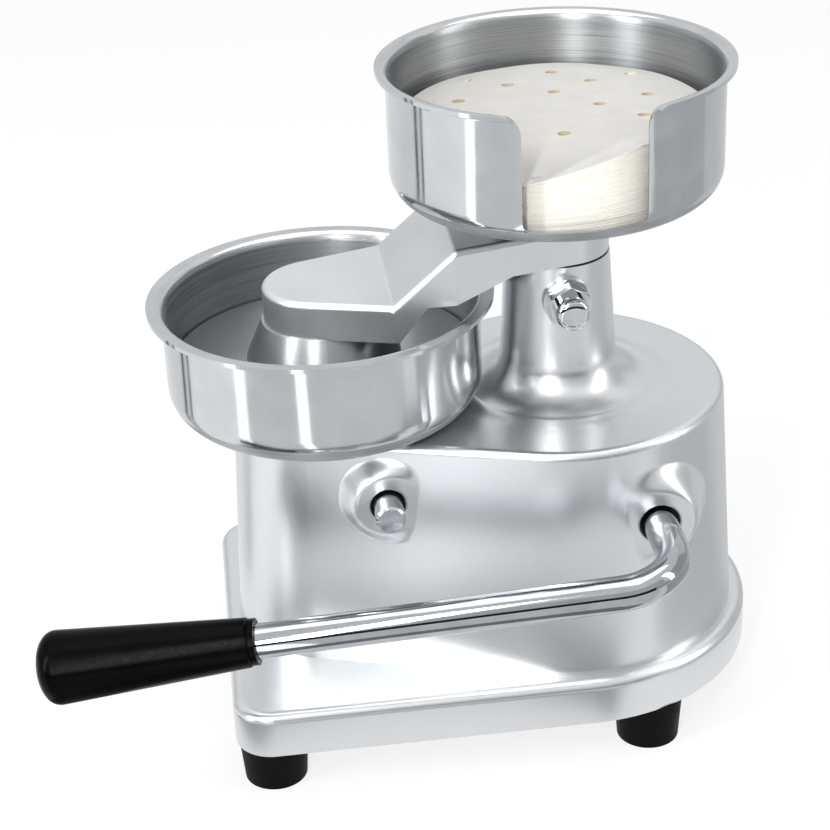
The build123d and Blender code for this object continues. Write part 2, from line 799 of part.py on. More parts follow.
# Ejector: a stem turned with rings, its plate on top inside the mould, their screw and the stem's bush
stem_low = front_shaft_z - eject_travel - stem_spare_rings * pitch_step
stem_top = mould_floor + ejector_lift_gap
with BuildPart() as ejector_stem:
    with BuildSketch(section(pad_y)):
        with BuildLine():
            points = [(0, stem_low)]
            points += ring_rack(stem_radius, stem_low, stem_top, front_shaft_z)
            Polyline(*points, (0, stem_top), close=True)
        make_face()
    revolve(axis=upright(pad_y))
    with BuildSketch(level(stem_top, pad_y)):
        Circle(ejector_screw_radius + seat_gap)
    extrude(amount=-ejector_screw_reach - screw_end_gap, mode=Mode.SUBTRACT)
finish(ejector_stem.part, "ejector_stem")
with BuildPart() as ejector_plate:
    with BuildSketch(section(pad_y)):
        with BuildLine():
            plate_top = stem_top + ejector_plate_thickness
            recess = mould_screw_circle + mould_screw_head + ejector_recess_room
            Polyline(
                (0, stem_top + mould_screw_head_height),
                (recess, stem_top + mould_screw_head_height),
                (recess, stem_top),
                (ejector_plate_radius - ejector_plate_bevel, stem_top),
                (ejector_plate_radius, plate_top),
                (0, plate_top),
                close=True,
            )
        make_face()
    revolve(axis=upright(pad_y))
    with BuildSketch(level(stem_top, pad_y)):
        Circle(stem_radius)
    extrude(amount=mould_screw_head_height)
    with Locations((column_x, column_y + pad_y, plate_top)):
        CounterSinkHole(ejector_screw_radius + seat_gap, ejector_screw_head)
finish(ejector_plate.part, "ejector_plate")
with BuildPart() as ejector_screw:
    with BuildSketch(section(pad_y)):
        with BuildLine():
            head = ejector_screw_head - seat_gap
            Polyline(
                (0, plate_top),
                (head, plate_top),
                (ejector_screw_radius, plate_top - head + ejector_screw_radius),
                (ejector_screw_radius, stem_top - ejector_screw_reach),
                (0, stem_top - ejector_screw_reach),
                close=True,
            )
        make_face()
    revolve(axis=upright(pad_y))
finish(ejector_screw.part, "ejector_screw")
with BuildPart() as ejector_bush:
    with BuildSketch(level(mould_floor, pad_y)):
        Circle(stem_radius + ejector_bush_wall)
        Circle(stem_radius + running_gap, mode=Mode.SUBTRACT)
    extrude(amount=-ejector_bush_length)
finish(ejector_bush.part, "ejector_bush")


def cross_bar(y, z, low_x, high_x, radius, mode=Mode.ADD):
    """Round bar along X between two places, centred on a cross shaft's axis."""
    with BuildSketch(side(low_x)) as disc:
        with Locations((y, z)):
            Circle(radius)
    extrude(disc.sketch, amount=high_x - low_x, mode=mode)


# Bushes for both shafts, one in each side wall
for name, (shaft_y, shaft_z, shaft_radius, reach) in zip(("rear_bushes", "front_bushes"), bearings):
    with BuildPart() as bushes:
        for hand in (-1, 1):
            with BuildSketch(side(hand * (reach - bearing_wall))):
                with Locations((shaft_y, shaft_z)):
                    Circle(shaft_radius + shaft_bush_wall)
                    Circle(shaft_radius + running_gap, mode=Mode.SUBTRACT)
            extrude(amount=-hand * shaft_bush_length)
    finish(bushes.part, name)

# Pins across the shafts, one through each pinion's hub and one through each crank's
pinion_pin_x = pinion_width / 2 + pinion_hub_length / 2
crank_pin_x = -crank_inset + pinion_hub_length / 2
for name, (shaft_y, shaft_z, shaft_radius, _) in zip(("rear_roll_pins", "front_roll_pins"), bearings):
    with BuildPart() as pins:
        for x in (pinion_pin_x, crank_pin_x):
            with Locations((column_x + x, column_y + shaft_y, shaft_z)):
                Cylinder(roll_pin_radius, 2 * (shaft_radius + pinion_hub_wall))
    finish(pins.part, name)

# Front cross shaft: its end stands out of the side by the handle
with BuildPart() as front_shaft:
    stub_end = front_boss_reach + front_shaft_stub
    blind_end = bearing_wall + shaft_end_gap - front_boss_reach
    cross_bar(front_shaft_y, front_shaft_z, blind_end, stub_end, front_shaft_radius)
    chamfer(front_shaft.faces().sort_by(Axis.X)[-1].edges(), front_shaft_chamfer)
    for x in (pinion_pin_x, crank_pin_x):
        pin_hole(x, front_shaft_y, front_shaft_z, front_shaft_radius)
finish(front_shaft.part, "front_shaft")

# Shaft collars, inside against the bosses by the handle
for name, (shaft_y, shaft_z, shaft_radius, reach) in zip(("rear_collar", "front_collar"), bearings):
    with BuildPart() as collar:
        outer_x = reach - bearing_wall - bearing_boss_length - loose_gap
        cross_bar(shaft_y, shaft_z, outer_x - collar_length, outer_x, shaft_radius + collar_wall)
        cross_bar(shaft_y, shaft_z, 0, outer_x + cut_past, shaft_radius + seat_gap, Mode.SUBTRACT)
    finish(collar.part, name)

# Cranks hang below both shafts and swing evenly about the line between them
span_y = front_shaft_y - rear_shaft_y
span_z = front_shaft_z - rear_shaft_z
rod_angle = atan2(span_z, span_y)
crank_angle = rod_angle + pi / 2 + travel / 2
crank_step = (crank_radius * cos(crank_angle), crank_radius * sin(crank_angle))
crank_outer = -crank_inset - crank_thickness
rod_inner = crank_outer - rod_side_gap
rod_outer = rod_inner - rod_thickness
for name, (shaft_y, shaft_z, shaft_radius, _) in zip(("rear_crank", "front_crank"), bearings):
    with BuildPart() as crank:
        with BuildSketch(side(crank_outer)):
            with Locations((shaft_y, shaft_z)):
                Circle(shaft_radius + pinion_hub_wall)
            with Locations((shaft_y + crank_step[0], shaft_z + crank_step[1])):
                Circle(crank_eye_radius)
            make_hull()
        extrude(amount=crank_thickness)
        hub_radius = shaft_radius + pinion_hub_wall
        cross_bar(shaft_y, shaft_z, crank_outer, pinion_hub_length - crank_inset, hub_radius)
        cross_bar(shaft_y, shaft_z, crank_outer - cut_past, 0, shaft_radius + seat_gap, Mode.SUBTRACT)
        eye = (shaft_y + crank_step[0], shaft_z + crank_step[1])
        cross_bar(*eye, crank_outer - cut_past, 0, crank_pin_radius + seat_gap, Mode.SUBTRACT)
        pin_hole(crank_pin_x, shaft_y, shaft_z, shaft_radius)
    finish(crank.part, name)

# Crank pins, headed at both ends
for name, (shaft_y, shaft_z, *_) in zip(("rear_crank_pin", "front_crank_pin"), bearings):
    eye = (shaft_y + crank_step[0], shaft_z + crank_step[1])
    head_x = rod_outer - crank_pin_side_gap
    with BuildPart() as crank_pin:
        cross_bar(*eye, head_x - crank_pin_head, -crank_inset + crank_pin_head, crank_pin_radius)
        cross_bar(*eye, head_x - crank_pin_head, head_x, crank_pin_radius + crank_pin_head_step)
        cross_bar(*eye, -crank_inset, -crank_inset + crank_pin_head, crank_pin_radius + crank_pin_head_step)
    finish(crank_pin.part, name)

# Connecting rod between the two crank pins, with an eye at each end
with BuildPart() as connecting_rod:
    rod_ends = [(y + crank_step[0], z + crank_step[1]) for y, z, *_ in bearings]
    with BuildSketch(side(rod_outer)):
        with Locations(*rod_ends):
            Circle(crank_eye_radius)
        with Locations(((rod_ends[0][0] + rod_ends[1][0]) / 2, (rod_ends[0][1] + rod_ends[1][1]) / 2)):
            Rectangle(hypot(span_y, span_z), rod_height, rotation=degrees(rod_angle))
        with Locations(rod_ends[0]):
            Circle(crank_pin_radius + running_gap, mode=Mode.SUBTRACT)
        with Locations(rod_ends[1]):
            Circle(crank_pin_radius + loose_gap, mode=Mode.SUBTRACT)
    extrude(amount=rod_thickness)
finish(connecting_rod.part, "connecting_rod")

# Handle rod: one bar that is the rear cross shaft and, past its bend, the lever
handle_corner = Vector(column_x + handle_corner_x, column_y + rear_shaft_y, rear_shaft_z)
lean = radians(handle_lean)
droop = radians(handle_droop)
lever_direction = Vector(-sin(lean) * cos(droop), -cos(lean) * cos(droop), -sin(droop))
grip_foot = handle_corner + lever_direction * grip_start
rod_end = handle_corner + lever_direction * (grip_start + grip_bore_depth)
with BuildPart() as handle_rod:
    blind_end = bearing_wall + shaft_end_gap - rear_boss_reach
    shaft_start = Vector(column_x + blind_end, handle_corner.Y, rear_shaft_z)
    with BuildLine() as handle_path:
        FilletPolyline(shaft_start, handle_corner, rod_end, radius=handle_bend)
    with BuildSketch(Plane(origin=shaft_start, z_dir=(1, 0, 0))):
        Circle(rear_shaft_radius)
    sweep(path=handle_path.line)
    for x in (pinion_pin_x, crank_pin_x):
        pin_hole(x, rear_shaft_y, rear_shaft_z, rear_shaft_radius)
finish(handle_rod.part, "handle_rod")

# Grip: tapered, fuller at its free end, domed, with a blind bore; a thin collar stands before it
grip_plane = Plane(origin=grip_foot, x_dir=(0, 0, 1), z_dir=lever_direction)
grip_section = Plane(origin=grip_foot, x_dir=lever_direction, z_dir=grip_plane.x_dir)
with BuildPart() as grip:
    with BuildSketch(grip_section):
        with BuildLine():
            bore = rear_shaft_radius + seat_gap
            collar_end = grip_collar_length + seat_gap
            dome_start = grip_length - grip_large_radius * 0.55
            rise = (grip_large_radius - grip_small_radius) / grip_length
            Polyline(
                (grip_bore_depth + seat_gap, 0),
                (grip_bore_depth + seat_gap, bore),
                (collar_end, bore),
                (collar_end, grip_small_radius - grip_edge),
                (collar_end + grip_edge, grip_small_radius),
                (dome_start, grip_small_radius + rise * dome_start),
            )
            Spline(
                (dome_start, grip_small_radius + rise * dome_start),
                (grip_length - 1.6, grip_large_radius * 0.66),
                (grip_length, 0),
                tangents=[(1, rise), (0, -1)],
            )
            Line((grip_length, 0), (grip_bore_depth + seat_gap, 0))
        make_face()
    revolve(axis=Axis(grip_foot, lever_direction))
finish(grip.part, "grip")
with BuildPart() as grip_collar:
    with BuildSketch(grip_plane):
        Circle(grip_small_radius - grip_collar_step)
        Circle(rear_shaft_radius + seat_gap, mode=Mode.SUBTRACT)
    extrude(amount=grip_collar_length)
finish(grip_collar.part, "grip_collar")
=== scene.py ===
import math

import bmesh
import bpy
from mathutils import Matrix, Vector, geometry, noise
from mathutils.bvhtree import BVHTree


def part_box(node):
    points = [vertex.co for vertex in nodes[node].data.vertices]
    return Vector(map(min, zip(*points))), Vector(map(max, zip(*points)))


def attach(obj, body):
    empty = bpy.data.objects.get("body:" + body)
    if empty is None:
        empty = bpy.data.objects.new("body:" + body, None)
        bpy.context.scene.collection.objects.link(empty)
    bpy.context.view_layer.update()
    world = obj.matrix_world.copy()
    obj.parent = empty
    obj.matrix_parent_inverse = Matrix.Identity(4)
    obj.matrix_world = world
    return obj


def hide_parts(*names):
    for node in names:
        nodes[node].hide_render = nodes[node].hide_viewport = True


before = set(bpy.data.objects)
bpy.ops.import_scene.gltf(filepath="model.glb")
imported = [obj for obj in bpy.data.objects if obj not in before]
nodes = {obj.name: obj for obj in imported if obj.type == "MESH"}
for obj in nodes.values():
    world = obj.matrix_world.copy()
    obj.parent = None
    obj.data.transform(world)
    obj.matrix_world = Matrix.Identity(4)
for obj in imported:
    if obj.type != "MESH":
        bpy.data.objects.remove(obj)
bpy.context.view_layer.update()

# A hand burger press, put together as it is built: castings and feet, bowls, column fittings, press
# head, works inside the body, handle, and last the paper discs. Metres, +Z up, the mould towards -Y
# and the handle on the +X side.


# Body and column: pressure die castings in an aluminium-silicon alloy, ground and shot-peened to an
# even satin and then lacquered. The body is open underneath and the column's foot sits in its top.

def linear(hex_colour):
    """An sRGB hex colour as the linear values that Blender works in."""
    channels = [int(hex_colour[place:place + 2], 16) / 255 for place in (1, 3, 5)]
    return [c / 12.92 if c < 0.04045 else ((c + 0.055) / 1.055) ** 2.4 for c in channels] + [1]


def add_node(tree, kind, inputs, stops=(), **settings):
    """Add one node: its settings, a ramp's stops, and each input as a value or a link."""
    made = tree.nodes.new(kind)
    for name, value in settings.items():
        setattr(made, name, value)
    for key, value in inputs.items():
        if isinstance(value, bpy.types.NodeSocket):
            tree.links.new(value, made.inputs[key])
        else:
            made.inputs[key].default_value = value
    for _ in stops[2:]:
        made.color_ramp.elements.new(0.5)
    for number, (position, colour) in enumerate(stops):
        made.color_ramp.elements[number].position = position
        made.color_ramp.elements[number].color = linear(colour)
    return made


def cleared_tree(owner):
    """The emptied node tree of a material or of the world."""
    owner.use_nodes = True
    owner.node_tree.nodes.clear()
    return owner.node_tree


def new_material(name):
    """An empty material: its tree, and the Object coordinates, in millimetres, that patterns read."""
    material = bpy.data.materials.new(name)
    tree = cleared_tree(material)
    place = add_node(tree, "ShaderNodeTexCoord", {})
    in_mm = add_node(
        tree, "ShaderNodeVectorMath", {0: place.outputs["Object"], "Scale": 1000}, operation="SCALE",
    )
    return material, tree, in_mm.outputs[0]


def shade(tree, height, bump_distance, **surface):
    """Close a tree with a bump, the surface shader and the output."""
    bump = add_node(tree, "ShaderNodeBump", {"Height": height, "Distance": bump_distance, "Strength": 1.0})
    inputs = {name.replace("_", " "): value for name, value in surface.items()}
    shader = add_node(tree, "ShaderNodeBsdfPrincipled", {**inputs, "Normal": bump.outputs[0]})
    add_node(tree, "ShaderNodeOutputMaterial", {"Surface": shader.outputs[0]})


def finish_node(material, *names):
    """Give CAD nodes their material."""
    for name in names:
        for slot in nodes[name].material_slots:
            slot.material = material


def cast_aluminium(name, light, dark, smooth, rough, grain_mm):
    """Lacquered casting: its fine grain and slow changes from handling both vary tone and gloss."""
    material, tree, place = new_material(name)
    handling_mm = 38
    grain = add_node(tree, "ShaderNodeTexNoise", {"Vector": place, "Scale": 1 / grain_mm, "Detail": 0.0})
    cloud = add_node(tree, "ShaderNodeTexNoise", {"Vector": place, "Scale": 1 / handling_mm, "Detail": 3.0})
    both = add_node(tree, "ShaderNodeMath", {0: grain.outputs[0], 1: cloud.outputs[0]}, operation="ADD")
    half = add_node(tree, "ShaderNodeMath", {0: both.outputs[0], 1: 0.5}, operation="MULTIPLY")
    colour = add_node(tree, "ShaderNodeValToRGB", {0: half.outputs[0]}, [(0.3, dark), (0.7, light)])
    roughness = add_node(
        tree, "ShaderNodeMapRange", {0: half.outputs[0], 1: 0.3, 2: 0.7, 3: smooth, 4: rough},
    )
    shade(
        tree, grain.outputs[0], bump_distance=0.000002,
        Base_Color=colour.outputs[0], Metallic=1.0, Roughness=roughness.outputs[0],
        Coat_Weight=0.15, Coat_Roughness=0.25,
    )
    return material


# Peened aluminium: broad soft highlights with hardly any grain, under a thin clear lacquer.
body_casting = cast_aluminium(
    "die_cast_aluminium_peened", "#d9dbdd", "#d4d6d8", smooth=0.29, rough=0.33, grain_mm=0.9,
)
finish_node(body_casting, "housing", "column")


# Blends on the casting: the column's foot runs out on the body's top in a long slope, and the body
# swells softly into each bearing boss, rolled in at each shaft hole and closed on the far side.

body_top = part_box("housing")[1].z


def bridge(shape, rings, hand=1):
    """Faces between each ring of points and the next, turned over where hand is -1."""
    for inner, outer in zip(rings, rings[1:]):
        for turn in range(len(inner)):
            after = (turn + 1) % len(inner)
            corners = (inner[turn], outer[turn], outer[after], inner[after])
            shape.faces.new(corners if hand > 0 else corners[::-1])


def mesh_from(name, shape):
    """Turn a finished bmesh into a mesh."""
    mesh = bpy.data.meshes.new(name)
    shape.to_mesh(mesh)
    shape.free()
    return mesh


def add_mesh_piece(name, mesh, slot, body, *materials):
    """Link a finished mesh as a piece of its own, with its finishes and the body it rides on. The slot is
    not used.
    """
    for material in materials:
        mesh.materials.append(material)
    piece = bpy.data.objects.new(name, mesh)
    bpy.context.scene.collection.objects.link(piece)
    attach(piece, body)
    return piece


def column_foot_blend():
    """The long soft slope of the column's foot, over the rim of its seat in the body's top."""
    low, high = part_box("column")
    axis = Vector(((low.x + high.x) / 2, (low.y + high.y) / 2, body_top))
    # Distances from the column's axis, and heights over the body's top.
    slope_points = [
        (0.0400, -0.0004), (0.0400, 0.0006), (0.0412, 0.00083), (0.0424, 0.0009), (0.0434, 0.00088),
        (0.0446, 0.00078), (0.0458, 0.00062), (0.0470, 0.00042), (0.0482, 0.00023), (0.0494, 0.00010),
        (0.0508, 0.00003), (0.0522, -0.00006), (0.0522, -0.0004),
    ]
    around = 160
    slope = bmesh.new()
    rings = []
    for radius, z in slope_points:
        rings.append([
            slope.verts.new(axis + Vector((
                radius * math.cos(math.tau * turn / around), radius * math.sin(math.tau * turn / around), z,
            )))
            for turn in range(around)
        ])
    bridge(slope, rings + rings[:1])
    bmesh.ops.recalc_face_normals(slope, faces=slope.faces)
    mesh = mesh_from("column_foot_blend", slope)
    mesh.shade_smooth()
    mesh.set_sharp_from_angle(angle=math.radians(50))
    add_mesh_piece("column_foot_blend", mesh, "column", "frame", body_casting)


column_foot_blend()


casting = nodes["housing"].data
casting_wall = BVHTree.FromPolygons(
    [corner.co for corner in casting.vertices], [list(face.vertices) for face in casting.polygons],
)
outside_casting = 0.3


def wall_at(hand, y, z):
    """How far out the casting stands on one side, 1 or -1, where a line along X meets it."""
    start = Vector((hand * outside_casting, y, z))
    return casting_wall.ray_cast(start, Vector((-hand, 0, 0)))[0].x * hand


def boss_blend(name, hand, hole_radius, hole, boss_radius, blend_radius):
    """A low swelling laid over a boss on one side, open at the hole, or closed where its radius is 0."""
    around = 96
    edge_room = 0.0045
    flat_margin = 0.0008
    inside_rim = 0.001
    throat_steps = 3 if hole_radius else 0
    throat_step = 0.0009
    lip_width = 0.001
    rise = 0.0004
    skin_gap = 0.00003
    skin_thickness = 0.0006
    slope_steps = 30
    sunk_steps = 4
    sunk_depth = 0.00012
    # The slope meets the wall a little inside the outer edge, which then sinks into the wall.
    early_end = 1.08
    # Where there is no hole, the first ring is a small one that a single face closes.
    inner = hole_radius or 0.0004
    flat_radius = boss_radius + flat_margin
    below_body_edge = body_top - edge_room - hole[1]
    boss_x = wall_at(hand, hole[0] + boss_radius - inside_rim, hole[1])
    swelling = bmesh.new()
    rings = []
    for step in range(-throat_steps, slope_steps + 1):
        share = max(step, 0) / slope_steps
        ring = []
        for turn in range(around):
            angle = math.tau * turn / around
            outer = min(blend_radius, below_body_edge / max(math.sin(angle), 0.01))
            distance = inner + (outer - inner) * share
            y = hole[0] + distance * math.cos(angle)
            z = hole[1] + distance * math.sin(angle)
            fall = min(max((distance - flat_radius) / (outer - flat_radius) * early_end, 0), 1)
            ease = 1 - fall * fall * (3 - 2 * fall)
            x = wall_at(hand, y, z)
            x += max(boss_x + rise - x, 0) * ease + skin_gap
            x -= sunk_depth * max(step - slope_steps + sunk_steps, 0) / sunk_steps
            if hole_radius:
                lip = min(distance - hole_radius, lip_width) / lip_width
                x -= rise * (1 - math.sqrt(max(1 - (1 - lip) ** 2, 0)))
            if step < 0:
                x = boss_x + step * throat_step
            ring.append(swelling.verts.new((x * hand, y, z)))
        rings.append(ring)
    bridge(swelling, rings, hand)
    if not hole_radius:
        swelling.faces.new(rings[0] if hand > 0 else rings[0][::-1])
    mesh = mesh_from(name, swelling)
    mesh.shade_smooth()
    piece = add_mesh_piece(name, mesh, "housing", "frame", body_casting)
    thickness = piece.modifiers.new("metal", "SOLIDIFY")
    thickness.thickness = skin_thickness
    thickness.offset = -1


def middle_yz(node):
    """The middle of a node's box, seen along X."""
    low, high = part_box(node)
    return (low.y + high.y) / 2, (low.z + high.z) / 2


rear_boss = {"hole": middle_yz("lift_pinion"), "boss_radius": 0.0134, "blend_radius": 0.0265}
front_boss = {"hole": middle_yz("eject_pinion"), "boss_radius": 0.0123, "blend_radius": 0.0215}
boss_blend("rear_boss_blend", hand=1, hole_radius=0.0087, **rear_boss)
boss_blend("front_boss_blend", hand=1, hole_radius=0.0076, **front_boss)
boss_blend("rear_far_boss_blend", hand=-1, hole_radius=0, **rear_boss)
boss_blend("front_far_boss_blend", hand=-1, hole_radius=0, **front_boss)


# Feet: four moulded nitrile rubber feet, tapered towards the table, each held by a zinc-plated pan
# head screw that goes up into a boss of the flange.

def moulded_rubber():
    """Matt black rubber with the fine spark texture of its mould and a grey bloom of dust."""
    material, tree, place = new_material("nitrile_rubber_moulded")
    pore_mm = 0.6
    bloom_mm = 9
    pores = add_node(tree, "ShaderNodeTexNoise", {"Vector": place, "Scale": 1 / pore_mm, "Detail": 3.0})
    bloom = add_node(tree, "ShaderNodeTexNoise", {"Vector": place, "Scale": 1 / bloom_mm, "Detail": 4.0})
    colour = add_node(
        tree, "ShaderNodeValToRGB", {0: bloom.outputs[0]}, [(0.35, "#060606"), (0.7, "#0c0c0d")],
    )
    roughness = add_node(
        tree, "ShaderNodeMapRange", {0: bloom.outputs[0], 1: 0.3, 2: 0.7, 3: 0.42, 4: 0.6},
    )
    shade(
        tree, pores.outputs[0], bump_distance=0.00006,
        Base_Color=colour.outputs[0], Roughness=roughness.outputs[0], Specular_IOR_Level=0.06,
    )
    return material


finish_node(moulded_rubber(), "rubber_feet")


def plated_steel(name, light, dark, smooth, rough, wear_mm):
    """Plated or ground steel: even metal with small worn and duller patches."""
    material, tree, place = new_material(name)
    scratch_mm = 0.5
    wear = add_node(tree, "ShaderNodeTexNoise", {"Vector": place, "Scale": 1 / wear_mm, "Detail": 5.0})
    fine = add_node(tree, "ShaderNodeTexNoise", {"Vector": place, "Scale": 1 / scratch_mm, "Detail": 2.0})
    colour = add_node(tree, "ShaderNodeValToRGB", {0: wear.outputs[0]}, [(0.35, light), (0.7, dark)])
    roughness = add_node(
        tree, "ShaderNodeMapRange", {0: wear.outputs[0], 1: 0.35, 2: 0.7, 3: smooth, 4: rough},
    )
    shade(
        tree, fine.outputs[0], bump_distance=0.000004,
        Base_Color=colour.outputs[0], Metallic=1.0, Roughness=roughness.outputs[0],
    )
    return material


# Zinc plate: a cool grey shine that has gone dull in patches.
zinc_plate = plated_steel(
    "zinc_plated_steel", "#b9bcc0", "#8f9296", smooth=0.25, rough=0.42, wear_mm=4,
)
finish_node(zinc_plate, "foot_screws", "ram_screw", "rear_roll_pins", "front_roll_pins")


# Bowls: deep drawn in 1.8 mm austenitic stainless steel, spun with an abrasive pad inside and
# polished outside, with the lip turned out. The mould bowl is screwed to the body's top.

def lathe_lines(tree, place, axis, line_mm, wander):
    """Rings round an upright axis, which fade along their turn as wander grows. It gives the place
    from the axis, the height, the distance from the axis, and the rings."""
    centred = add_node(
        tree, "ShaderNodeMapping", {0: place, "Location": (-axis[0] * 1000, -axis[1] * 1000, 0)},
    )
    split = add_node(tree, "ShaderNodeSeparateXYZ", {0: centred.outputs[0]})
    flat = add_node(
        tree, "ShaderNodeVectorMath", {0: centred.outputs[0], 1: (1, 1, 0)}, operation="MULTIPLY",
    )
    radius = add_node(tree, "ShaderNodeVectorMath", {0: flat.outputs[0]}, operation="LENGTH")
    across = add_node(
        tree, "ShaderNodeMath", {0: radius.outputs["Value"], 1: split.outputs["Z"]}, operation="ADD",
    )
    along = add_node(tree, "ShaderNodeCombineXYZ", {"Z": across.outputs[0]})
    fine = add_node(
        tree, "ShaderNodeVectorMath", {0: along.outputs[0], "Scale": 1 / line_mm}, operation="SCALE",
    )
    turn = add_node(tree, "ShaderNodeVectorMath", {0: flat.outputs[0]}, operation="NORMALIZE")
    slow = add_node(tree, "ShaderNodeVectorMath", {0: turn.outputs[0], "Scale": wander}, operation="SCALE")
    path = add_node(tree, "ShaderNodeVectorMath", {0: slow.outputs[0], 1: fine.outputs[0]}, operation="ADD")
    lines = add_node(
        tree, "ShaderNodeTexNoise",
        {"Vector": path.outputs[0], "Scale": 1.0, "Detail": 4.0, "Roughness": 0.7},
    )
    return centred.outputs[0], split.outputs["Z"], radius.outputs["Value"], lines.outputs[0]


def across_lines(tree, centred):
    """The direction across lines that run round an axis, in which they draw out each highlight."""
    around = add_node(tree, "ShaderNodeVectorMath", {0: (0, 0, 1), 1: centred}, operation="CROSS_PRODUCT")
    facing = add_node(tree, "ShaderNodeNewGeometry", {})
    across = add_node(
        tree, "ShaderNodeVectorMath", {0: around.outputs[0], 1: facing.outputs["Normal"]},
        operation="CROSS_PRODUCT",
    )
    return add_node(tree, "ShaderNodeVectorMath", {0: across.outputs[0]}, operation="NORMALIZE").outputs[0]


def spun_steel(name, axis, wall_mm, floor_mm, inside_smooth, outside_smooth):
    """Stainless bowl: satin with rings up to its wall's radius and above its floor, polished elsewhere."""
    material, tree, place = new_material(name)
    # The pad's lines are really about 0.1 mm apart, which is too fine to show.
    line_mm = 0.5
    smear_mm = 17
    centred, height, radius, lines = lathe_lines(tree, place, axis, line_mm, wander=0.9)
    smears = add_node(tree, "ShaderNodeTexNoise", {"Vector": place, "Scale": 1 / smear_mm, "Detail": 4.0})
    in_wall = add_node(tree, "ShaderNodeMath", {0: radius, 1: wall_mm}, operation="LESS_THAN")
    over_floor = add_node(tree, "ShaderNodeMath", {0: height, 1: floor_mm}, operation="GREATER_THAN")
    inside = add_node(
        tree, "ShaderNodeMath", {0: in_wall.outputs[0], 1: over_floor.outputs[0]}, operation="MULTIPLY",
    )
    brushed = add_node(
        tree, "ShaderNodeValToRGB", {0: lines}, [(0.3, "#8f9193"), (0.5, "#a6a8aa"), (0.72, "#bcbebf")],
    )
    polished = add_node(
        tree, "ShaderNodeValToRGB", {0: smears.outputs[0]}, [(0.3, "#bfc1c3"), (0.7, "#c9cbcc")],
    )
    colour = add_node(
        tree, "ShaderNodeMix", {0: inside.outputs[0], 6: polished.outputs[0], 7: brushed.outputs[0]},
        data_type="RGBA",
    )
    line_roughness = add_node(
        tree, "ShaderNodeMapRange", {0: lines, 1: 0.3, 2: 0.7, 3: inside_smooth, 4: inside_smooth + 0.16},
    )
    smear_roughness = add_node(
        tree, "ShaderNodeMapRange",
        {0: smears.outputs[0], 1: 0.35, 2: 0.75, 3: outside_smooth, 4: outside_smooth + 0.05},
    )
    roughness = add_node(
        tree, "ShaderNodeMix",
        {0: inside.outputs[0], 2: smear_roughness.outputs[0], 3: line_roughness.outputs[0]},
    )
    depth = add_node(tree, "ShaderNodeMath", {0: lines, 1: inside.outputs[0]}, operation="MULTIPLY")
    shade(
        tree, depth.outputs[0], bump_distance=0.00004,
        Base_Color=colour.outputs[2], Metallic=1.0, Roughness=roughness.outputs[0],
        Anisotropic=0.85, Tangent=across_lines(tree, centred),
    )
    return material


# The middle of each wall and of each floor is where satin turns to polish.
mould_low, mould_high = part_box("mould_bowl")
mould_axis = (mould_low + mould_high) / 2
mould_wall_mm = 68.0
paper_low, paper_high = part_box("paper_bowl")
paper_axis = Vector((mould_axis.x, (paper_low.y + paper_high.y) / 2, 0))
paper_wall_mm = 69.9
half_sheet_mm = 0.9

# Spun inside: grey satin that draws lamps out into bars. Polished outside: a nearly clear mirror.
finish_node(
    spun_steel(
        "stainless_mould_bowl", mould_axis, mould_wall_mm, mould_low.z * 1000 + half_sheet_mm,
        inside_smooth=0.34, outside_smooth=0.12,
    ),
    "mould_bowl",
)
finish_node(
    spun_steel(
        "stainless_paper_bowl", paper_axis, paper_wall_mm, paper_low.z * 1000 + half_sheet_mm,
        inside_smooth=0.32, outside_smooth=0.1,
    ),
    "paper_bowl",
)

# Stainless screws: left bright, so they catch small sharp highlights.
stainless_screw = plated_steel(
    "stainless_screw", "#c9cbcc", "#a9abad", smooth=0.16, rough=0.3, wear_mm=3,
)
finish_node(stainless_screw, "mould_screws", "bowl_screws", "ejector_screw", "plate_screw")


# Column fittings: sintered bronze bushes pressed into the column, the walls and the mould, and the
# guide pin of ground steel, as bright as the nickel plate on its lock nut and its dome nut.

def sintered_bronze():
    """Bronze bush full of oil, painted nearly black as painted shade deep in its hole, with open pores that
    dull its shine.
    """
    material, tree, place = new_material("sintered_bronze_painted_shade")
    pore_mm = 0.7
    stain_mm = 5
    pores = add_node(tree, "ShaderNodeTexVoronoi", {"Vector": place, "Scale": 1 / pore_mm})
    stain = add_node(tree, "ShaderNodeTexNoise", {"Vector": place, "Scale": 1 / stain_mm, "Detail": 3.0})
    colour = add_node(
        tree, "ShaderNodeValToRGB", {0: stain.outputs[0]}, [(0.3, "#1d1b19"), (0.7, "#2b2926")],
    )
    shade(
        tree, pores.outputs[0], bump_distance=0.00003,
        Base_Color=colour.outputs[0], Metallic=0.6, Roughness=0.5,
    )
    return material


finish_node(sintered_bronze(), "upper_bush", "lower_bush", "rear_bushes", "front_bushes", "ejector_bush")

# Nickel plate: a clear bright mirror on the nuts' flats and dome.
nickel_plate = plated_steel(
    "bright_nickel_plate", "#d0d1d2", "#bfc1c3", smooth=0.05, rough=0.12, wear_mm=6,
)
finish_node(nickel_plate, "lock_nut", "dome_nut", "guide_pin")


# Press head: the cast arm, ground on its faces, with the turned hub and press plate under its front
# end, and the ram, spacer and paper bowl at its back.

# Ground aluminium: flatter and a little duller than the peened body, with a finer grain.
arm_casting = cast_aluminium(
    "die_cast_aluminium_ground", "#dedfe1", "#d3d5d7", smooth=0.3, rough=0.42, grain_mm=0.6,
)
finish_node(arm_casting, "arm")


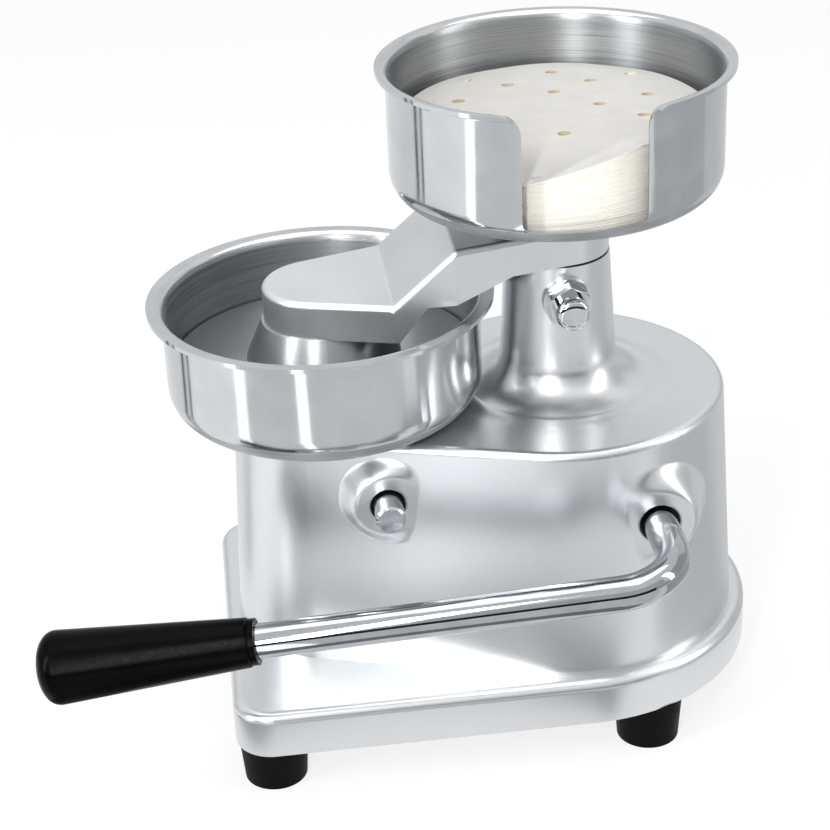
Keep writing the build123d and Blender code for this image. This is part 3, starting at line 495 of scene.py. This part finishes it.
def turned_metal(name, light, dark, smooth, rough, axis, line_mm):
    """Metal faced on a lathe: rings round its axis, each catching the light a little differently."""
    material, tree, place = new_material(name)
    centred, _, _, lines = lathe_lines(tree, place, axis, line_mm, wander=0.0)
    colour = add_node(tree, "ShaderNodeValToRGB", {0: lines}, [(0.3, dark), (0.7, light)])
    roughness = add_node(tree, "ShaderNodeMapRange", {0: lines, 1: 0.3, 2: 0.7, 3: smooth, 4: rough})
    shade(
        tree, lines, bump_distance=0.00002,
        Base_Color=colour.outputs[0], Metallic=1.0, Roughness=roughness.outputs[0],
        Anisotropic=0.7, Tangent=across_lines(tree, centred),
    )
    return material


# Turned aluminium: light grey, with the tool's feed lines drawn coarser than their real 0.2 mm.
turned_aluminium = turned_metal(
    "turned_aluminium", "#b9bbbd", "#a6a9ac", smooth=0.3, rough=0.42, axis=mould_axis, line_mm=0.7,
)
finish_node(turned_aluminium, "plate_hub", "press_plate")

# The spacer is turned aluminium too, painted dark grey as painted shade for where it lies under the bright
# bowl.
turned_spacer_painted_shade = turned_metal(
    "turned_spacer_painted_shade", "#55575a", "#3f4144", smooth=0.35, rough=0.5, axis=paper_axis, line_mm=0.7,
)
finish_node(turned_spacer_painted_shade, "bowl_spacer")

# Ground stainless: bright sliding faces, with only the slightest haze.
ground_steel = plated_steel(
    "ground_stainless_steel", "#c9cbcd", "#b3b5b8", smooth=0.14, rough=0.24, wear_mm=8,
)
finish_node(ground_steel, "ram", "front_shaft", "ejector_stem")


# Works inside the body: hobbed pinions, cranks, pins, collars and the connecting rod, in plain
# machined steel with a film of grease, and the ejector plate, brushed in rings, in the mould.

# Greased steel: dark grey, with patches where the film of grease softens the shine.
machined_steel = plated_steel(
    "machined_steel_greased", "#8f9194", "#66686b", smooth=0.28, rough=0.45, wear_mm=5,
)
finish_node(
    machined_steel, "lift_pinion", "eject_pinion", "rear_crank", "front_crank", "rear_crank_pin",
    "front_crank_pin", "rear_collar", "front_collar", "connecting_rod",
)

# The ejector plate is spun like the bowl round it, and a little brighter.
spun_plate = turned_metal(
    "spun_ejector_plate", "#d0d1d2", "#b2b4b5", smooth=0.2, rough=0.32, axis=mould_axis, line_mm=0.6,
)
finish_node(spun_plate, "ejector_plate")


# Handle: a bent bar of bright chromed steel, and a glossy black moulded grip behind a thin collar.

# Bright chrome: the sharpest mirror on the press, which shows the table as light and dark lines.
hard_chrome = plated_steel(
    "bright_chrome_plate", "#b4b7ba", "#a6a9ad", smooth=0.04, rough=0.09, wear_mm=12,
)
finish_node(hard_chrome, "handle_rod")


def moulded_grip():
    """Glossy black phenolic: faint flow marks and fine handling scratches that break the shine."""
    material, tree, place = new_material("phenolic_moulded_gloss")
    flow_mm = 22
    scratch_mm = 1.2
    flow = add_node(tree, "ShaderNodeTexNoise", {"Vector": place, "Scale": 1 / flow_mm, "Detail": 3.0})
    scratch = add_node(tree, "ShaderNodeTexNoise", {"Vector": place, "Scale": 1 / scratch_mm, "Detail": 6.0})
    colour = add_node(
        tree, "ShaderNodeValToRGB", {0: flow.outputs[0]}, [(0.3, "#020202"), (0.7, "#060606")],
    )
    roughness = add_node(
        tree, "ShaderNodeMapRange", {0: scratch.outputs[0], 1: 0.3, 2: 0.75, 3: 0.2, 4: 0.32},
    )
    shade(
        tree, flow.outputs[0], bump_distance=0.0001,
        Base_Color=colour.outputs[0], Roughness=roughness.outputs[0], Specular_IOR_Level=0.04,
    )
    return material


finish_node(moulded_grip(), "grip", "grip_collar")


# Paper discs: a few hundred greaseproof paper discs lie in the upper bowl. The pile sags on the left
# of the bowl's slot and is fluffed up on its right, and holes are punched through all the discs.

def greaseproof_paper(name, side_colours_with_painted_shading, top_colours_with_painted_shading):
    """Glassine paper: milky face, creamier and finely lined where cut edges show together; its side and top
    tones hold painted light and shade.
    """
    material, tree, place = new_material(name)
    # The sheets are really about 0.05 mm thick. Their edges are drawn as lines 0.5 mm apart.
    line_mm = 0.5
    line_length_mm = 30
    fibre_mm = 9
    stretch = add_node(
        tree, "ShaderNodeVectorMath", {0: place, 1: (1 / line_length_mm, 1 / line_length_mm, 1 / line_mm)},
        operation="MULTIPLY",
    )
    lines = add_node(tree, "ShaderNodeTexNoise", {"Vector": stretch.outputs[0], "Scale": 1.0, "Detail": 3.0})
    fibre = add_node(tree, "ShaderNodeTexNoise", {"Vector": place, "Scale": 1 / fibre_mm, "Detail": 6.0})
    edge = add_node(
        tree, "ShaderNodeValToRGB", {0: lines.outputs[0]}, [(0.3, side_colours_with_painted_shading[0]), (0.7, side_colours_with_painted_shading[1])],
    )
    face = add_node(
        tree, "ShaderNodeValToRGB", {0: fibre.outputs[0]}, [(0.3, top_colours_with_painted_shading[0]), (0.7, top_colours_with_painted_shading[1])],
    )
    # Upward faces take the top tones and the rest the side tones, so the painted light and shade follow the
    # facing.
    facing = add_node(tree, "ShaderNodeNewGeometry", {})
    normal = add_node(tree, "ShaderNodeSeparateXYZ", {0: facing.outputs["Normal"]})
    up = add_node(tree, "ShaderNodeMapRange", {0: normal.outputs["Z"], 1: 0.6, 2: 0.9})
    colour = add_node(
        tree, "ShaderNodeMix", {0: up.outputs[0], 6: edge.outputs[0], 7: face.outputs[0]}, data_type="RGBA",
    )
    shade(
        tree, fibre.outputs[0], bump_distance=0.0002,
        Base_Color=colour.outputs[2], Roughness=0.5, Specular_IOR_Level=0.4,
        Subsurface_Weight=0.12, Subsurface_Scale=0.003, Subsurface_Radius=(1.0, 0.9, 0.7),
    )
    return material


# Light passes a little way into the sheets, and the walls of the punched holes are painted browner and
# darker, as painted shade down in the holes.
# The pile's sides are painted lighter and its top darker than the paper is: painted light on the sides,
# painted shade on the top.
paper = greaseproof_paper("greaseproof_paper", ("#efeadf", "#f6f2e9"), ("#c9c7c2", "#d0cec9"))
punched_hole_painted_shade = greaseproof_paper("paper_punched_edge", ("#c9bc9e", "#d9cfb8"), ("#d2c9b4", "#ddd6c6"))
pile_low, pile_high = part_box("paper_stack")
pile_axis = (pile_low + pile_high) / 2
pile_radius = (pile_high.x - pile_low.x) / 2

# The top drops on the slot's left and rises on its right, more and more towards the slot, between
# two distances from the pile's axis.
sag = -0.0085
fluff = 0.004
slot_half_width = 0.024
sag_start = 0.014
sag_end = 0.060

# The edges of the leaves, thicker and fewer than the real ones: a stack of flat rings, each a little
# out of line, whose outside waves in and out by a share of its radius.
leaf_count = 60
strip_width = 0.006
slip = 0.00014
leaf_body_share = 0.86
wave_rates = (40, 40, 2600)
wave_inwards = -0.0025
wave_outwards = 0.0012
leaves = bpy.data.node_groups.new("paper_leaves", "GeometryNodeTree")
for label, kind in (
    ("Radius", "Float"), ("Leaves", "Int"), ("Leaf height", "Float"), ("Foot", "Vector"), ("Slip", "Float"),
    ("Seed", "Int"), ("Sag", "Float"), ("Fluff", "Float"), ("Paper", "Material"),
):
    leaves.interface.new_socket(name=label, in_out="INPUT", socket_type="NodeSocket" + kind)
leaves.interface.new_socket(name="Geometry", in_out="OUTPUT", socket_type="NodeSocketGeometry")
given = add_node(leaves, "NodeGroupInput", {}).outputs

# One ring is a closed strip, set on a line of points that goes up from the pile's foot.
middle = add_node(leaves, "ShaderNodeMath", {0: given["Radius"], 1: strip_width / 2}, operation="SUBTRACT")
loop = add_node(leaves, "GeometryNodeCurvePrimitiveCircle", {"Resolution": 120, "Radius": middle.outputs[0]})
leaf_body = add_node(
    leaves, "ShaderNodeMath", {0: given["Leaf height"], 1: leaf_body_share}, operation="MULTIPLY",
)
strip = add_node(
    leaves, "GeometryNodeCurvePrimitiveQuadrilateral",
    {"Width": strip_width, "Height": leaf_body.outputs[0]},
)
leaf = add_node(leaves, "GeometryNodeCurveToMesh", {0: loop.outputs[0], 1: strip.outputs[0]})
step = add_node(leaves, "ShaderNodeCombineXYZ", {"Z": given["Leaf height"]})
line = add_node(
    leaves, "GeometryNodeMeshLine",
    {"Count": given["Leaves"], "Start Location": given["Foot"], "Offset": step.outputs[0]},
)
placed = add_node(leaves, "GeometryNodeInstanceOnPoints", {0: line.outputs[0], 2: leaf.outputs[0]})
least = add_node(leaves, "ShaderNodeMath", {0: given["Slip"], 1: -1.0}, operation="MULTIPLY")
low_corner = add_node(leaves, "ShaderNodeCombineXYZ", {0: least.outputs[0], 1: least.outputs[0]})
high_corner = add_node(leaves, "ShaderNodeCombineXYZ", {0: given["Slip"], 1: given["Slip"]})
slipped = add_node(
    leaves, "FunctionNodeRandomValue",
    {0: low_corner.outputs[0], 1: high_corner.outputs[0], "Seed": given["Seed"]}, data_type="FLOAT_VECTOR",
)
moved = add_node(
    leaves, "GeometryNodeTranslateInstances", {0: placed.outputs[0], 2: slipped.outputs[0]},
)
real = add_node(leaves, "GeometryNodeRealizeInstances", {0: moved.outputs[0]})

# Each point then moves with the sag or the fluff, as far as it is high in the pile.
where = add_node(leaves, "GeometryNodeInputPosition", {})
from_foot = add_node(
    leaves, "ShaderNodeVectorMath", {0: where.outputs[0], 1: given["Foot"]}, operation="SUBTRACT",
)
parts = add_node(leaves, "ShaderNodeSeparateXYZ", {0: from_foot.outputs[0]})
sideways = add_node(
    leaves, "ShaderNodeMapRange",
    {0: parts.outputs["Y"], 1: -slot_half_width, 2: slot_half_width, 3: given["Sag"], 4: given["Fluff"]},
)
forward_share = add_node(
    leaves, "ShaderNodeMapRange", {0: parts.outputs["X"], 1: sag_start, 2: sag_end},
    interpolation_type="SMOOTHSTEP",
)
top_move = add_node(
    leaves, "ShaderNodeMath", {0: sideways.outputs[0], 1: forward_share.outputs[0]}, operation="MULTIPLY",
)
height_share = add_node(
    leaves, "ShaderNodeMath", {0: parts.outputs["Z"], 1: pile_high.z - pile_low.z}, operation="DIVIDE",
)
drop = add_node(
    leaves, "ShaderNodeMath", {0: top_move.outputs[0], 1: height_share.outputs[0]}, operation="MULTIPLY",
)

# Its edge waves in and out, differently from leaf to leaf.
noise_place = add_node(
    leaves, "ShaderNodeVectorMath", {0: from_foot.outputs[0], 1: wave_rates}, operation="MULTIPLY",
)
wave = add_node(
    leaves, "ShaderNodeTexNoise", {"Vector": noise_place.outputs[0], "Scale": 1.0, "Detail": 1.0},
)
wave_size = add_node(
    leaves, "ShaderNodeMapRange", {0: wave.outputs[0], 1: 0.3, 2: 0.7, 3: wave_inwards, 4: wave_outwards},
)
outwards = add_node(
    leaves, "ShaderNodeVectorMath", {0: from_foot.outputs[0], 1: (1, 1, 0)}, operation="MULTIPLY",
)
bulge = add_node(
    leaves, "ShaderNodeVectorMath", {0: outwards.outputs[0], "Scale": wave_size.outputs[0]},
    operation="SCALE",
)
fall = add_node(leaves, "ShaderNodeCombineXYZ", {"Z": drop.outputs[0]})
shift = add_node(leaves, "ShaderNodeVectorMath", {0: bulge.outputs[0], 1: fall.outputs[0]}, operation="ADD")
bent = add_node(
    leaves, "GeometryNodeSetPosition", {"Geometry": real.outputs[0], "Offset": shift.outputs[0]},
)
coated = add_node(
    leaves, "GeometryNodeSetMaterial", {"Geometry": bent.outputs[0], "Material": given["Paper"]},
)
add_node(leaves, "NodeGroupOutput", {0: coated.outputs[0]})

growing = bpy.data.objects.new("paper_leaves_making", bpy.data.meshes.new("paper_leaves_making"))
bpy.context.scene.collection.objects.link(growing)
modifier = growing.modifiers.new("leaves", "NODES")
modifier.node_group = leaves
leaf_height = (pile_high.z - pile_low.z) / leaf_count
settings = {
    "Radius": pile_radius, "Leaves": leaf_count, "Leaf height": leaf_height, "Slip": slip, "Seed": 7,
    "Foot": (pile_axis.x, pile_axis.y, pile_low.z), "Sag": sag, "Fluff": fluff, "Paper": paper,
}
for socket in leaves.interface.items_tree:
    if socket.in_out == "INPUT":
        modifier[socket.identifier] = settings[socket.name]
growing.update_tag()
bpy.context.view_layer.update()
leaf_mesh = bpy.data.meshes.new_from_object(growing.evaluated_get(bpy.context.evaluated_depsgraph_get()))
bpy.data.objects.remove(growing)
leaf_mesh.name = "paper_leaves"
add_mesh_piece("paper_leaves", leaf_mesh, "paper_stack", "paper")


def eased(value, start, end):
    """Smooth step from 0 to 1 between two values."""
    share = min(max((value - start) / (end - start), 0), 1)
    return share * share * (3 - 2 * share)


def pile_top(x, y):
    """Height of the pile's top at a place measured from its axis."""
    ripple_height = 0.0004
    ripple_rate = 30
    across_slot = min(max((y + slot_half_width) / (2 * slot_half_width), 0), 1)
    sideways = sag + (fluff - sag) * across_slot
    ripple = ripple_height * noise.noise(Vector((x * ripple_rate, y * ripple_rate, 0.5)))
    return pile_high.z + sideways * eased(x, sag_start, sag_end) + ripple


def sheet_edge(angle):
    """Radius of the top sheet at an angle: a disc whose cut edge is slightly uneven."""
    past_leaves = 0.0004
    uneven_by = 0.0009
    uneven_rate = 2.2
    uneven = noise.noise(Vector((math.cos(angle) * uneven_rate, math.sin(angle) * uneven_rate, 1.7)))
    return pile_radius + past_leaves + uneven_by * uneven


# The top sheet lies over the leaves with the holes punched through it, at places measured from the
# pile's axis. It is drawn flat, triangulated and bent to the pile's top, and a core closes it below.
hole_places_mm = [
    (-51, 7.5), (-38, -14), (-25, 4), (-22, -38), (-41, 41), (-36, 22), (-12, 42), (-5, 20), (13, 35),
    (26, -1), (-49, -31),
]
hole_half_length = 0.0029
hole_half_width = 0.0021
hole_depth = 0.0028
edge_points = 180
hole_points = 20
flat_points = []
flat_edges = []


def add_loop(points):
    """Add a closed loop of points and its edges to the flat drawing, and give the points' numbers."""
    first = len(flat_points)
    flat_points.extend(points)
    numbers = list(range(first, first + len(points)))
    flat_edges.extend(zip(numbers, numbers[1:] + numbers[:1]))
    return numbers


edge_loop = add_loop([
    Vector((math.cos(math.tau * k / edge_points), math.sin(math.tau * k / edge_points)))
    * sheet_edge(math.tau * k / edge_points)
    for k in range(edge_points)
])
hole_loops = []
for hole_x, hole_y in hole_places_mm:
    hole_loops.append(add_loop([
        Vector((
            hole_x / 1000 + hole_half_width * math.cos(math.tau * k / hole_points),
            hole_y / 1000 + hole_half_length * math.sin(math.tau * k / hole_points),
        ))
        for k in range(hole_points)
    ]))
mesh_step = 0.0026
clear_of_hole = 0.0042
half_count = int(pile_radius / mesh_step)
for across in range(-half_count, half_count + 1):
    for along in range(-half_count, half_count + 1):
        point = Vector((across * mesh_step, along * mesh_step))
        if point.length > pile_radius - mesh_step:
            continue
        if all((point - Vector(hole) / 1000).length > clear_of_hole for hole in hole_places_mm):
            flat_points.append(point)
drawn = geometry.delaunay_2d_cdt(flat_points, flat_edges, [], 0, 1e-7)
number_of = {}
for made, sources in enumerate(drawn[3]):
    for source in sources:
        number_of[source] = made


def in_hole(point):
    """Whether a flat point lies in one of the punched holes."""
    for hole in hole_places_mm:
        away = point - Vector(hole) / 1000
        if (away.x / hole_half_width) ** 2 + (away.y / hole_half_length) ** 2 < 1:
            return True
    return False


sheet = bmesh.new()
top_points = [
    sheet.verts.new((pile_axis.x + point.x, pile_axis.y + point.y, pile_top(point.x, point.y)))
    for point in drawn[0]
]
for corners in drawn[2]:
    centre = sum((drawn[0][corner] for corner in corners), Vector((0, 0))) / len(corners)
    if centre.length < sheet_edge(math.atan2(centre.y, centre.x)) and not in_hole(centre):
        sheet.faces.new([top_points[corner] for corner in corners])


def wall_down(loop, moves, finish):
    """Carry a loop of points down in steps, and close the last one with a face."""
    upper = loop
    for inward, depth in moves:
        lower = []
        for point in upper:
            away = Vector((point.co.x - pile_axis.x, point.co.y - pile_axis.y, 0))
            lower.append(sheet.verts.new(point.co - away.normalized() * inward - Vector((0, 0, depth))))
        for place, point in enumerate(upper):
            after = (place + 1) % len(upper)
            face = sheet.faces.new((point, lower[place], lower[after], upper[after]))
            face.material_index = finish
        upper = lower
    sheet.faces.new(upper).material_index = finish
    return upper


for numbers in hole_loops:
    wall_down([top_points[number_of[number]] for number in numbers], [(0, hole_depth)], 1)
sheet_thickness = 0.0003
core_inset = 0.005
foot_ring = wall_down(
    [top_points[number_of[number]] for number in edge_loop],
    [(0, sheet_thickness), (core_inset, 0), (0, 0)], 0,
)
# The last ring goes down to the lowest leaf.
for point in foot_ring:
    point.co.z = pile_low.z + leaf_height
bmesh.ops.recalc_face_normals(sheet, faces=sheet.faces)
sheet_mesh = mesh_from("paper_top_sheet", sheet)
sheet_mesh.shade_smooth()
sheet_mesh.set_sharp_from_angle(angle=math.radians(40))
top_sheet = add_mesh_piece("paper_top_sheet", sheet_mesh, "paper_stack", "paper", paper, punched_hole_painted_shade)
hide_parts("paper_stack")


# Stage: a white floor that keeps the press's shadow, cards that only reflections see, a soft box over
# each side and one above, and the camera at the photograph's place.

def seen_itself(tree):
    """1 where the stage is seen, in view, in a mirror or through glass, and 0 where it only lights."""
    rays = add_node(tree, "ShaderNodeLightPath", {})
    either = add_node(
        tree, "ShaderNodeMath",
        {0: rays.outputs["Is Camera Ray"], 1: rays.outputs["Is Glossy Ray"]}, operation="MAXIMUM",
    )
    seen = add_node(
        tree, "ShaderNodeMath",
        {0: either.outputs[0], 1: rays.outputs["Is Transmission Ray"]}, operation="MAXIMUM",
    )
    return seen.outputs[0]


def studio_floor():
    """White sweep: nearly plain white where it is seen, and darker only where the press shades it."""
    material = bpy.data.materials.new("white_sweep")
    tree = cleared_tree(material)
    glow_share = 0.8
    shaded = add_node(tree, "ShaderNodeBsdfDiffuse", {"Color": linear("#ffffff")})
    glow = add_node(tree, "ShaderNodeEmission", {"Color": linear("#ffffff"), "Strength": 1.0})
    share = add_node(tree, "ShaderNodeMath", {0: seen_itself(tree), 1: glow_share}, operation="MULTIPLY")
    both = add_node(
        tree, "ShaderNodeMixShader",
        {0: share.outputs[0], 1: shaded.outputs[0], 2: glow.outputs[0]},
    )
    add_node(tree, "ShaderNodeOutputMaterial", {"Surface": both.outputs[0]})
    return material


floor_radius = 6.0
disc = bmesh.new()
bmesh.ops.create_circle(disc, cap_ends=True, segments=96, radius=floor_radius)
floor = bpy.data.objects.new("floor", mesh_from("floor", disc))
floor.data.materials.append(studio_floor())
bpy.context.scene.collection.objects.link(floor)

world = bpy.data.worlds.new("studio")
bpy.context.scene.world = world
sky = cleared_tree(world)
plain = add_node(sky, "ShaderNodeBackground", {"Color": linear("#ffffff"), "Strength": 1.0})
room = add_node(sky, "ShaderNodeBackground", {"Color": linear("#f3f4f5"), "Strength": 0.5})
shown = add_node(sky, "ShaderNodeMixShader", {0: seen_itself(sky), 1: room.outputs[0], 2: plain.outputs[0]})
add_node(sky, "ShaderNodeOutputWorld", {"Surface": shown.outputs[0]})


def studio_card():
    """Card that glows, as bright as the tone kept on its faces."""
    material = bpy.data.materials.new("studio_card")
    tree = cleared_tree(material)
    tone = add_node(tree, "ShaderNodeAttribute", {}, attribute_name="tone")
    glow = add_node(
        tree, "ShaderNodeEmission", {"Color": linear("#f8fafc"), "Strength": tone.outputs["Fac"]},
    )
    add_node(tree, "ShaderNodeOutputMaterial", {"Surface": glow.outputs[0]})
    return material


card_finish = studio_card()


def card_ring(name, inner, outer, low, high, sectors):
    """Cards round the press that only its reflections see. Sectors give degrees from, to, and a tone."""
    widest_card = 4
    ring = bmesh.new()
    tone = ring.faces.layers.float.new("tone")
    for start, end, strength in sectors:
        pieces = max(int((end - start) / widest_card), 1)
        for piece in range(pieces):
            first = math.radians(start + (end - start) * piece / pieces)
            last = math.radians(start + (end - start) * (piece + 1) / pieces)
            corners = [
                (radius * math.cos(angle), radius * math.sin(angle), z)
                for radius, z, angle in (
                    (inner, low, first), (outer, high, first), (outer, high, last), (inner, low, last),
                )
            ]
            ring.faces.new([ring.verts.new(corner) for corner in corners])[tone] = strength
    mesh = mesh_from(name, ring)
    mesh.materials.append(card_finish)
    cards = bpy.data.objects.new(name, mesh)
    cards.visible_camera = False
    cards.visible_diffuse = False
    cards.visible_shadow = False
    bpy.context.scene.collection.objects.link(cards)


# Strips on the table stand in the polished bowls as upright light and dark bars.
table_height = 0.0006
table_sectors = [
    (-180, -119, 1.0), (-119, -116, 0.04), (-116, -112, 1.0), (-112, -110, 0.04), (-110, -69, 1.25),
    (-69, -62, 2.4), (-62, -27, 0.9), (-27, -20, 2.4), (-20, 50, 0.9), (50, 60, 1.1), (60, 104, 0.62),
    (104, 180, 0.75),
]
card_ring("table_cards", 0.2, 1.4, table_height, table_height, table_sectors)

# The wall cards shade the satin casting and the insides of the bowls.
wall_distance = 2.4
wall_foot = 0.6
wall_sectors = [
    (-180, -140, 0.95), (-140, -110, 1.0), (-110, -30, 0.9), (-30, 60, 0.7), (60, 80, 1.1), (80, 120, 0.6),
    (120, 180, 0.9),
]
card_ring("wall_cards", wall_distance, wall_distance, wall_foot, 1.9, wall_sectors)

# Low down the wall is nearly black in front, which draws the dark line along the chromed bar.
low_wall_sectors = [(-180, -75, 0.6), (-75, 45, 0.03), (45, 180, 0.6)]
card_ring("low_wall_cards", wall_distance, wall_distance, 0.0, wall_foot, low_wall_sectors)

# A grey card lies close to the base, under the handle.
card_ring("near_cards", 0.135, 0.2, table_height, table_height, [(-85, 45, 0.3)])


def soft_box(name, place, aim, width, height, watts):
    """One rectangular lamp turned towards a point."""
    lamp = bpy.data.lights.new(name, "AREA")
    lamp.shape = "RECTANGLE"
    lamp.size = width
    lamp.size_y = height
    lamp.energy = watts
    holder = bpy.data.objects.new(name, lamp)
    holder.location = place
    holder.rotation_euler = (Vector(aim) - Vector(place)).to_track_quat("-Z", "Y").to_euler()
    bpy.context.scene.collection.objects.link(holder)


# The side boxes are tall and narrow, so they stand in the polished metal as long upright bars.
press_middle = (0, 0, 0.15)
soft_box("left_box", (0.7, -1.5, 1.0), press_middle, 0.16, 1.5, 20)
soft_box("front_box", (1.5, -0.62, 1.1), press_middle, 0.16, 1.4, 17)
soft_box("right_box", (0.5, 1.6, 0.9), press_middle, 0.25, 1.4, 8)
soft_box("top_box", (-0.2, 0.1, 1.9), press_middle, 1.6, 1.6, 12)

# The camera's place was found from the rims of both bowls, the base and the feet.
camera_place = (0.77793, -0.06743, 0.55629)
camera_yaw = math.radians(84.445)
camera_pitch = math.radians(27.591)
camera_roll = math.radians(-2.655)
camera_lens_mm = 87.81
lens = bpy.data.cameras.new("camera")
lens.lens = camera_lens_mm
lens.sensor_width = 36
lens.clip_start = 0.05
lens.clip_end = 30
camera = bpy.data.objects.new("camera", lens)
forward = Vector((
    -math.sin(camera_yaw) * math.cos(camera_pitch),
    math.cos(camera_yaw) * math.cos(camera_pitch),
    -math.sin(camera_pitch),
))
level = Vector((math.cos(camera_yaw), math.sin(camera_yaw), 0))
above = level.cross(forward)
right = level * math.cos(camera_roll) + above * math.sin(camera_roll)
top = above * math.cos(camera_roll) - level * math.sin(camera_roll)
turn = Matrix((right, top, -forward)).transposed()
camera.matrix_world = Matrix.Translation(camera_place) @ turn.to_4x4()
bpy.context.scene.collection.objects.link(camera)
bpy.context.scene.camera = camera
bpy.context.scene.view_settings.view_transform = "Standard"
